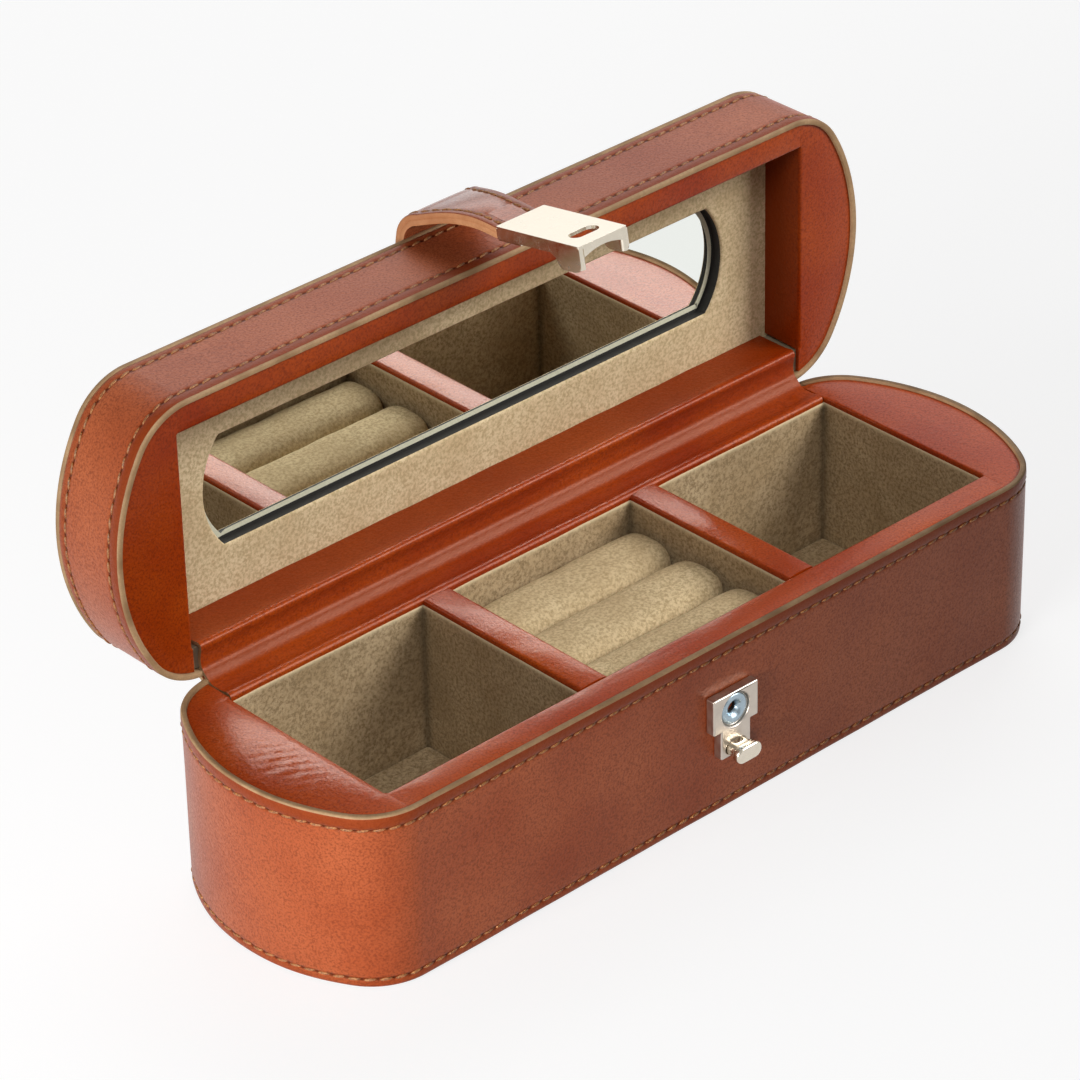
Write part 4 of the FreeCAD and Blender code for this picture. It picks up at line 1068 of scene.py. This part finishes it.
# Inner hinge
# One strip of the lining leather is the hinge: glued to the recess wall and the lid's rear rail, it rolls
# over the two rims in a soft bead and runs on along the base's rear rail into the wells. Its cut ends show.
HINGE_HALF = 106.2
HINGE_LEATHER = 0.95
HINGE_LINE = [
    (54.2, 60.4), (48.0, 60.4), (43.4, 60.45), (42.0, 60.85), (40.8, 60.55), (40.35, 59.4), (40.8, 58.0),
    (41.1, 56.4), (41.1, 55.2), (40.9, 53.9), (40.4, 53.0), (39.5, 52.3), (38.7, 51.4), (37.7, 50.6),
    (36.4, 50.25), (34.2, 50.2), (32.8, 50.35), (31.4, 50.75), (30.2, 50.6), (29.6, 49.9), (29.5, 49.3),
    (29.5, 48.9)]


def eased(points, rounds):
    """A line with its corners cut away a few times over, its two ends kept."""
    line = np.asarray(points, dtype=float)
    for _ in range(rounds):
        inner = np.empty((2 * len(line) - 2, line.shape[1]))
        inner[0::2] = 0.75 * line[:-1] + 0.25 * line[1:]
        inner[1::2] = 0.25 * line[:-1] + 0.75 * line[1:]
        line = np.vstack([line[:1], inner, line[-1:]])
    return line


def left_of(line):
    """Unit normals on the left of a line's direction."""
    run = np.gradient(line, axis=0)
    run /= np.linalg.norm(run, axis=1)[:, None]
    return np.column_stack([-run[:, 1], run[:, 0]])


hinge_line = eased(HINGE_LINE, 2)
hinge_back = hinge_line + HINGE_LEATHER * left_of(hinge_line)
loops = []
for x in rail_stations(HINGE_HALF):
    sway = 0.05 * math.sin(x / 6.0 + 1) + 0.04 * math.sin(x / 2.9)
    face = hinge_line - sway * left_of(hinge_line)
    behind = hinge_back.copy()
    face[-1, 1] = base_deck - (WELL_LIP if in_well(x) else LINING_LEATHER)
    behind[-1, 1] = face[-1, 1]
    section = np.vstack([face, behind[::-1]])
    loops.append(station(x, section))
# Painted shade: darker along the lid's recess wall and in the crease of the fold between the rims.
dark = 0.6 * np.clip((section[:, 0] - 42.0) / 3.0, 0, 1)
dark = np.maximum(dark, 0.9 * np.exp(-np.sum((section - (39.4, 52.2)) ** 2, axis=1) / 2.2 ** 2))
hinge_strip = skin("inner_hinge", loops, [lining_hide, cut_hide], marks={"burnish_and_shade": dark[None, :]}, cap=1)
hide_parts("hinge_leaf_base", "hinge_leaf_lid", "hinge_fold")
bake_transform(hinge_strip)

# Outer hinge
# A second strip of hide is sewn across the joint on the back, one row of stitches on the base and one on the
# lid. It is built only as it lies with the lid up, in the corner between them; on the shut case it lies flat
# across the back.
BACK_HALF = 106.0
BACK_LEATHER = 1.15
BACK_LINE = [
    (41.2, 37.0), (41.2, 44.0), (41.2, 47.6), (41.35, 49.3), (42.0, 49.95), (43.7, 50.1), (47.0, 50.1),
    (54.3, 50.1)]
BASE_SEWING = (41.3, 39.6)
LID_SEWING = (51.7, 50.0)
back_line = eased(BACK_LINE, 2)
back_inner = back_line + BACK_LEATHER * left_of(back_line)
section = np.vstack([back_line, back_inner[::-1]])
zones = np.zeros((1, len(section)), dtype=np.int32)
zones[0, [len(back_line) - 1, len(section) - 1]] = 1
loops = [station(x, section) for x in np.linspace(-BACK_HALF, BACK_HALF, 120)]
back_hinge = skin("outer_hinge", loops, [leather, cut_hide], zones, cap=1)
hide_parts("back_hinge_base", "back_hinge_lid", "back_hinge_fold")
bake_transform(back_hinge)
sew_x = np.arange(-BACK_HALF + 4, BACK_HALF - 3, STITCH_PITCH)
for name, body, spot, out, seed in (
    ("outer_hinge_stitching_base", "base", BASE_SEWING, (0, 1.0, 0), 31),
    ("outer_hinge_stitching_lid", "lid", LID_SEWING, (0, 0, -1.0), 37),
):
    places = [(x, *spot) for x in sew_x]
    sewing = sew(name, places, np.tile((1.0, 0, 0), (len(sew_x), 1)), np.tile(out, (len(sew_x), 1)), seed)
    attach(sewing, body)

# Strap
# Two layers of hide glued flesh to flesh and sewn round the edge. The round end is sewn to the lid's top; the
# strap arches over the lid's front edge and narrows in a hollow curve to the clasp.
strap_joint = next(joint for joint in frame["joints"] if joint["name"] == "strap_flex")
strap_y = hinge_y + hinge_z - strap_joint["pos_m"][2] / MM
strap_z = hinge_z + strap_joint["pos_m"][1] / MM - hinge_y
strap_rest = math.radians(-strap_joint["range_deg"][0])
STRAP_THICK = 3.2
STRAP_END_Y = -3.0
STRAP_HALF = 13.5
STRAP_ROUND = 9.0
STRAP_SEAM = 2.3
STRAP_CLEAR = 0.03
STRAP_BOW = 1.7
TAB_LENGTH = 34.9
fold_radius = lid_top - strap_z
anchor_run = STRAP_END_Y - strap_y
fold_run = fold_radius * (math.pi / 2 - strap_rest)
strap_length = anchor_run + fold_run + TAB_LENGTH
WIDTHS = [
    (0, STRAP_HALF), (30, STRAP_HALF), (35, 13.2), (39, 12.4), (43, 11.2), (48, 9.8), (54, 8.5), (60, 7.6),
    (64, 7.2), (90, 7.1)]
width_line = eased(WIDTHS, 3)


def strap_half(distance):
    """Half the strap's width, distance millimetres from its sewn end, the end's rounded corners included."""
    wide = np.interp(distance, width_line[:, 0], width_line[:, 1])
    if distance < STRAP_ROUND:
        return wide - STRAP_ROUND + math.sqrt(max(STRAP_ROUND ** 2 - (STRAP_ROUND - distance) ** 2, 0.0))
    return wide


def strap_place(distance):
    """The strap's underside on the shut lid: a point in y and z, and the directions along and out of it."""
    if distance <= anchor_run:
        point = np.array([STRAP_END_Y - distance, lid_top + STRAP_CLEAR])
        return point, np.array([-1.0, 0.0]), np.array([0.0, 1.0])
    turn = min((distance - anchor_run) / fold_radius, math.pi / 2 - strap_rest)
    out = np.array([-math.sin(turn), math.cos(turn)])
    run = np.array([-math.cos(turn), -math.sin(turn)])
    point = np.array([strap_y, strap_z]) + (fold_radius + STRAP_CLEAR) * out
    rest = max(distance - anchor_run - fold_run, 0)
    bow = STRAP_BOW * math.sin(math.pi * min(rest / (TAB_LENGTH - 8), 1))
    return point + rest * run + bow * out, run, out


def strap_section(half, dent):
    """One cross-section of the strap: distances across it and heights over its underside."""
    side = [
        (0.45, 0), (0.12, 0.1), (0, 0.42), (0, 1.42), (0.14, 1.6), (0, 1.78), (0, 2.72), (0.12, 3.05),
        (0.42, STRAP_THICK)]
    top = [
        (1.2, 0.08), (1.75, 0.02), (2.05, -0.6 * dent), (STRAP_SEAM, -dent), (2.55, -0.6 * dent),
        (2.9, 0.02), (3.6, 0.1)]
    right = [(half * 0.5, 0)] + [(half - inset, height) for inset, height in side]
    right += [(half - inset, STRAP_THICK + rise) for inset, rise in top]
    right += [(half * 0.5, STRAP_THICK + 0.18)]
    return right + [(0, STRAP_THICK + 0.2)] + [(-x, z) for x, z in right[::-1]]


round_end = STRAP_ROUND * (1 - np.cos(np.linspace(0.02, math.pi / 2, 20)))
stations = np.concatenate([round_end, np.arange(STRAP_ROUND + 0.6, strap_length, 0.62)])
loops = []
for distance in stations:
    point, run, out = strap_place(distance)
    half = max(strap_half(distance), 4.0)
    dent = 0.3 * (0.7 + 0.3 * math.cos(2 * math.pi * distance / STITCH_PITCH))
    section = np.array(strap_section(half, dent))
    flat = point + section[:, 1:2] * out
    loops.append(opened(np.column_stack([section[:, 0], flat])))
size = len(loops[0])
zones = np.zeros((1, size), dtype=np.int32)
zones[0, 2:8] = 1
zones[0, size - 9:size - 3] = 1
across = np.array(strap_section(10.0, 0.3))
burnish_and_shade = np.where(across[:, 1] > 2.9, 0.6 * np.exp(-((10.0 - np.abs(across[:, 0])) / 2.4) ** 4), 0.0)
strap_hide = hide_finish("polished strap hide", "#904020", "#a95935", "#642914", 1.0)
strap_edge = cut_finish("dyed cut edge of hide", "#9a5f38", "#cf9768", "#a0653c")
strap = skin("strap", loops, [strap_hide, strap_edge], zones, {"burnish_and_shade": burnish_and_shade[None, :]}, cap=1)
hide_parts("strap_anchor", "strap_bend", "strap_tab")
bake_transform(strap)

# Strap stitching
# One row runs all round the strap a little in from its edge, and a second goes straight across where the
# strap leaves the lid's top.
CROSS_SEAM = 25.5
PLATE_START = strap_length - TAB_LENGTH + 26.6
seam_line = []
for distance in np.linspace(PLATE_START, STRAP_ROUND, 120):
    seam_line.append((-(strap_half(distance) - STRAP_SEAM), distance))
corner = STRAP_HALF - STRAP_ROUND
inner_round = STRAP_ROUND - STRAP_SEAM
for turn in np.linspace(0, math.pi / 2, 14):
    seam_line.append((-(corner + inner_round * math.cos(turn)), STRAP_ROUND - inner_round * math.sin(turn)))
seam_line += [(-x, distance) for x, distance in seam_line[::-1]]
seam_line = np.array(seam_line)


def spaced(line, pitch):
    """Points one pitch apart along a line, and the line's direction at each."""
    steps = np.concatenate([[0], np.cumsum(np.linalg.norm(np.diff(line, axis=0), axis=1))])
    marks = np.arange(pitch / 2, steps[-1], steps[-1] / round(steps[-1] / pitch))
    spots = np.column_stack([np.interp(marks, steps, line[:, axis]) for axis in (0, 1)])
    ahead = np.column_stack([np.interp(marks + 0.3, steps, line[:, axis]) for axis in (0, 1)])
    return spots, (ahead - spots) / np.linalg.norm(ahead - spots, axis=1)[:, None]


cross_half = STRAP_HALF - STRAP_SEAM - 1.5
places = []
runs = []
outs = []
for line in (seam_line, np.array([(-cross_half, CROSS_SEAM), (cross_half, CROSS_SEAM)])):
    for (x, distance), (step_x, step_run) in zip(*spaced(line, STITCH_PITCH * 0.85)):
        point, run, out = strap_place(distance)
        places.append((x, *(point + (STRAP_THICK - 0.12) * out)))
        runs.append((step_x, *(step_run * run)))
        outs.append((0, *out))
strap_stitching = sew(
    "strap_stitching", opened(places), opened(runs) - upright, opened(outs) - upright, seed=41)
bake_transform(strap_stitching)

# Clasp
# A nickel-plated box is crimped over the strap's end: a flat face with the button's slot, side flanges, two
# rounded legs at the lower corners that straddle the strike, and an arched lip between them.
PLATE_HALF = 8.3
PLATE_LOW = 13.0
PLATE_HIGH = 44.0
PLATE_METAL = 0.9
CRIMP_GAP = 0.1
FLANGE_DEPTH = 2.5
LEG_DEPTH = 6.4
LEG_HIGH = 22.0
LEG_WIDE = 2.0
EAR_ROUND = 2.6
LIP_DEPTH = 2.4
SLOT_HALF_X = 4.55
SLOT_HALF_Z = 2.2
plate_back = strap_y - fold_radius - STRAP_THICK - CRIMP_GAP


def swung(points):
    """Clasp points from the latched case to where the free strap holds them at rest."""
    points = np.asarray(points, dtype=float)
    out = points[:, 1] - strap_y
    down = points[:, 2] - strap_z
    cosine = math.cos(strap_rest)
    sine = math.sin(strap_rest)
    return np.column_stack([
        points[:, 0], strap_y + out * cosine + down * sine, strap_z - out * sine + down * cosine])


def hang(piece):
    """Moves a finished clasp piece from the latched case to its rest on the open lid."""
    count = len(piece.data.vertices)
    spots = np.empty(3 * count)
    piece.data.vertices.foreach_get("co", spots)
    spots = opened(swung(spots.reshape(-1, 3) / MM)) * MM
    piece.data.vertices.foreach_set("co", spots.ravel())
    piece.data.update()


def rounded_outline(low, high, radius):
    """A plate's outline in x and z with its corners rounded."""
    points, normals = rounded_box(np.array(low), np.array(high), radius, 0, 6)
    return [tuple(point) for point in points]


face = prism("clasp_box", rounded_outline((-PLATE_HALF, PLATE_LOW), (PLATE_HALF, PLATE_HIGH), 0.5),
             plate_back - PLATE_METAL, plate_back, nickel)
cheek = [
    (-0.3, PLATE_HIGH), (FLANGE_DEPTH, PLATE_HIGH), (FLANGE_DEPTH, LEG_HIGH + 2.0),
    (FLANGE_DEPTH + 0.8, LEG_HIGH + 0.8)]
cheek += [(LEG_DEPTH - EAR_ROUND + EAR_ROUND * math.sin(a), LEG_HIGH - EAR_ROUND + EAR_ROUND * math.cos(a))
          for a in np.linspace(0, math.pi / 2, 7)]
cheek += [(LEG_DEPTH - EAR_ROUND + EAR_ROUND * math.cos(a), PLATE_LOW + EAR_ROUND - EAR_ROUND * math.sin(a))
          for a in np.linspace(0, math.pi / 2, 7)]
cheek += [(-0.3, PLATE_LOW)]
sides = []
leg_radius = LEG_WIDE / 2
for sign in (-1, 1):
    x0, x1 = sorted((sign * (PLATE_HALF - PLATE_METAL), sign * PLATE_HALF))
    sides.append(prism("cheek", [(plate_back + y, z) for y, z in cheek], x0, x1, nickel, 0))
    leg_x = sign * (PLATE_HALF - leg_radius)
    post = [(leg_x + leg_radius * math.cos(a), PLATE_LOW + leg_radius * (1 + math.sin(a)))
            for a in np.linspace(0, 2 * math.pi, 24, endpoint=False)]
    sides.append(prism("post", post, plate_back - 0.4, plate_back + LEG_DEPTH - 0.9, nickel))
inside = PLATE_HALF - LEG_WIDE + 0.4
arch = [(x, plate_back + LIP_DEPTH - 1.3 * (1 - (x / inside) ** 2)) for x in np.linspace(inside, -inside, 17)]
sides.append(prism("lip", [(-inside, plate_back - 0.3), (inside, plate_back - 0.3)] + arch,
                   PLATE_LOW + 0.05, PLATE_LOW + 0.95, nickel, 2))
slot = prism("slot", oval(SLOT_HALF_X, SLOT_HALF_Z, BUTTON_Z, 48), plate_back - 3, plate_back + 3, nickel)
clasp = worked(face, sides, [slot], 0.25)
hang(clasp)
fit(clasp, "clasp", "nickel", "clasp_plate")

# Hidden boards and fixings
# The boards and blocks inside the leather, the washer and spring behind the front board, and the small plate
# and pins behind the strap keep their CAD shapes and only get their materials.
greyboard, tree, place = finish_of("pressed greyboard")
# Greyboard: pressed paper fibre, dull brown grey with longer dark fibres.
fibre = add(tree, "ShaderNodeTexNoise", {
    "Vector": place, "Scale": 1 / (3 * MM), "Detail": 5.0, "Roughness": 0.7})
hue = add(tree, "ShaderNodeMix", {
    0: fibre.outputs[0], 6: linear("#6b5b48"), 7: linear("#9a8a72")}, data_type="RGBA")
bump = add(tree, "ShaderNodeBump", {"Strength": 0.4, "Distance": 0.1 * MM, "Height": fibre.outputs[0]})
shader = add(tree, "ShaderNodeBsdfPrincipled", {
    "Base Color": hue.outputs[2], "Roughness": 0.85, "IOR": 1.5, "Normal": bump.outputs[0]})
add(tree, "ShaderNodeOutputMaterial", {"Surface": shader.outputs[0]})

for material, nodes in (
    (greyboard, (
        "base_floor_board", "base_front_board", "base_rear_board", "base_end_block_left",
        "base_end_block_right", "divider_board_left", "divider_board_right", "lid_top_board",
        "lid_front_board", "lid_rear_board", "lid_end_block_left", "lid_end_block_right", "mirror_backing")),
    (zinc, ("rivet_washer", "button_spring")),
    (nickel, ("clasp_back_plate", "clasp_pins")),
):
    for node in nodes:
        frame["nodes"][node].data.materials.clear()
        frame["nodes"][node].data.materials.append(material)

# Floor, light and camera
# A white studio sweep: a white floor, softboxes on the left, in front on the right and behind, a small light
# on the left corner and a high fill, and a pale room all round that the glaze and the metal reflect.
FLOOR_GLOW = 0.77
ROOM_LIGHT = 0.11
ROOM_SEEN = 0.5
paper, tree, place = finish_of("white paper")
ray = add(tree, "ShaderNodeLightPath", {})
seen = add(tree, "ShaderNodeMath", {
    0: ray.outputs["Is Camera Ray"], 1: ray.outputs["Is Glossy Ray"]}, operation="MAXIMUM")
lift = add(tree, "ShaderNodeMath", {0: seen.outputs[0], 1: FLOOR_GLOW}, operation="MULTIPLY")
matt = add(tree, "ShaderNodeBsdfDiffuse", {"Color": linear("#9a9a9a")})
glow = add(tree, "ShaderNodeEmission", {"Color": linear("#ffffff"), "Strength": lift.outputs[0]})
both = add(tree, "ShaderNodeAddShader", {0: matt.outputs[0], 1: glow.outputs[0]})
add(tree, "ShaderNodeOutputMaterial", {"Surface": both.outputs[0]})
FLOOR_HALF = 6000.0
FLOOR_Z = -0.2
spread = [(x * FLOOR_HALF, y * FLOOR_HALF, FLOOR_Z) for x, y in ((-1, -1), (1, -1), (1, 1), (-1, 1))]
floor = solid("floor", spread, [(0, 1, 2, 3)], [paper])


def soft_light(name, spot, aim, width, depth, power):
    """A large square light that faces a point."""
    lamp = bpy.data.lights.new(name, "AREA")
    lamp.shape = "RECTANGLE"
    lamp.size = width
    lamp.size_y = depth
    lamp.energy = power
    stand = bpy.data.objects.new(name, lamp)
    stand.location = spot
    stand.rotation_mode = "QUATERNION"
    stand.rotation_quaternion = (Vector(aim) - Vector(spot)).to_track_quat("-Z", "Y")
    bpy.context.scene.collection.objects.link(stand)
    return stand


soft_light("back softbox", (1.0, 1.1, 1.05), (0, 0, 0.08), 1.6, 1.5, 7.4)
left_light = soft_light("left softbox", (-1.0, -0.2, 0.3), (0, 0, 0.08), 0.6, 0.4, 11.5)
corner_light = soft_light(
    "gridded corner light", (-0.45, -0.45, 0.2), (-0.16, -0.03, 0.03), 0.25, 0.25, 0.13)
corner_light.data.spread = math.radians(28)
fill_light = soft_light("high fill", (-0.9, -0.9, 1.6), (0, 0, 0.05), 0.8, 0.8, 14.0)
front_light = soft_light("front softbox", (1.03, -1.08, 1.05), (0, 0, 0.08), 0.9, 0.9, 31.0)
# Flags keep the left lights to the outside, the fill to the inside, and the front softbox off the front wall.
OUTSIDE = (base_wall, base_bottom, base_stitching, lid_wall, lid_cover, lid_stitching, back_hinge, strap,
           strap_stitching, clasp, strike, rivet, button, floor)
reach = {light: bpy.data.collections.new("reached by " + light.name)
         for light in (left_light, corner_light, fill_light, front_light)}
for thing in [thing for thing in bpy.context.scene.objects if thing.type == "MESH"]:
    if thing in OUTSIDE:
        reach[left_light].objects.link(thing)
    if thing in (base_wall, base_stitching):
        reach[corner_light].objects.link(thing)
    if thing not in OUTSIDE:
        reach[fill_light].objects.link(thing)
    if thing not in (base_wall, base_stitching, floor):
        reach[front_light].objects.link(thing)
for light, lit in reach.items():
    light.light_linking.receiver_collection = lit

world = bpy.data.worlds.new("white room")
world.use_nodes = True
tree = world.node_tree
tree.nodes.clear()
ray = add(tree, "ShaderNodeLightPath", {})
seen = add(tree, "ShaderNodeMath", {
    0: ray.outputs["Is Camera Ray"], 1: ray.outputs["Is Glossy Ray"]}, operation="MAXIMUM")
room = add(tree, "ShaderNodeMapRange", {0: seen.outputs[0], 3: ROOM_LIGHT, 4: ROOM_SEEN})
sky = add(tree, "ShaderNodeBackground", {"Color": linear("#ffffff"), "Strength": room.outputs[0]})
add(tree, "ShaderNodeOutputWorld", {"Surface": sky.outputs[0]})
bpy.context.scene.world = world

CAMERA_SPOT = Vector((-0.72393, -0.76803, 0.70918))
CAMERA_AIM = Vector((-0.0113, 0.0176, 0.0604))
CAMERA_ROLL = math.radians(-1.433)
lens = bpy.data.cameras.new("camera")
lens.sensor_width = 36.0
lens.lens = 160.0
lens.clip_end = 50.0
camera = bpy.data.objects.new("camera", lens)
camera.location = CAMERA_SPOT
camera.rotation_mode = "QUATERNION"
roll = Matrix.Rotation(CAMERA_ROLL, 3, "Z").to_quaternion()
camera.rotation_quaternion = (CAMERA_AIM - CAMERA_SPOT).to_track_quat("-Z", "Y") @ roll
bpy.context.scene.collection.objects.link(camera)
bpy.context.scene.camera = camera
bpy.context.scene.view_settings.view_transform = "Standard"
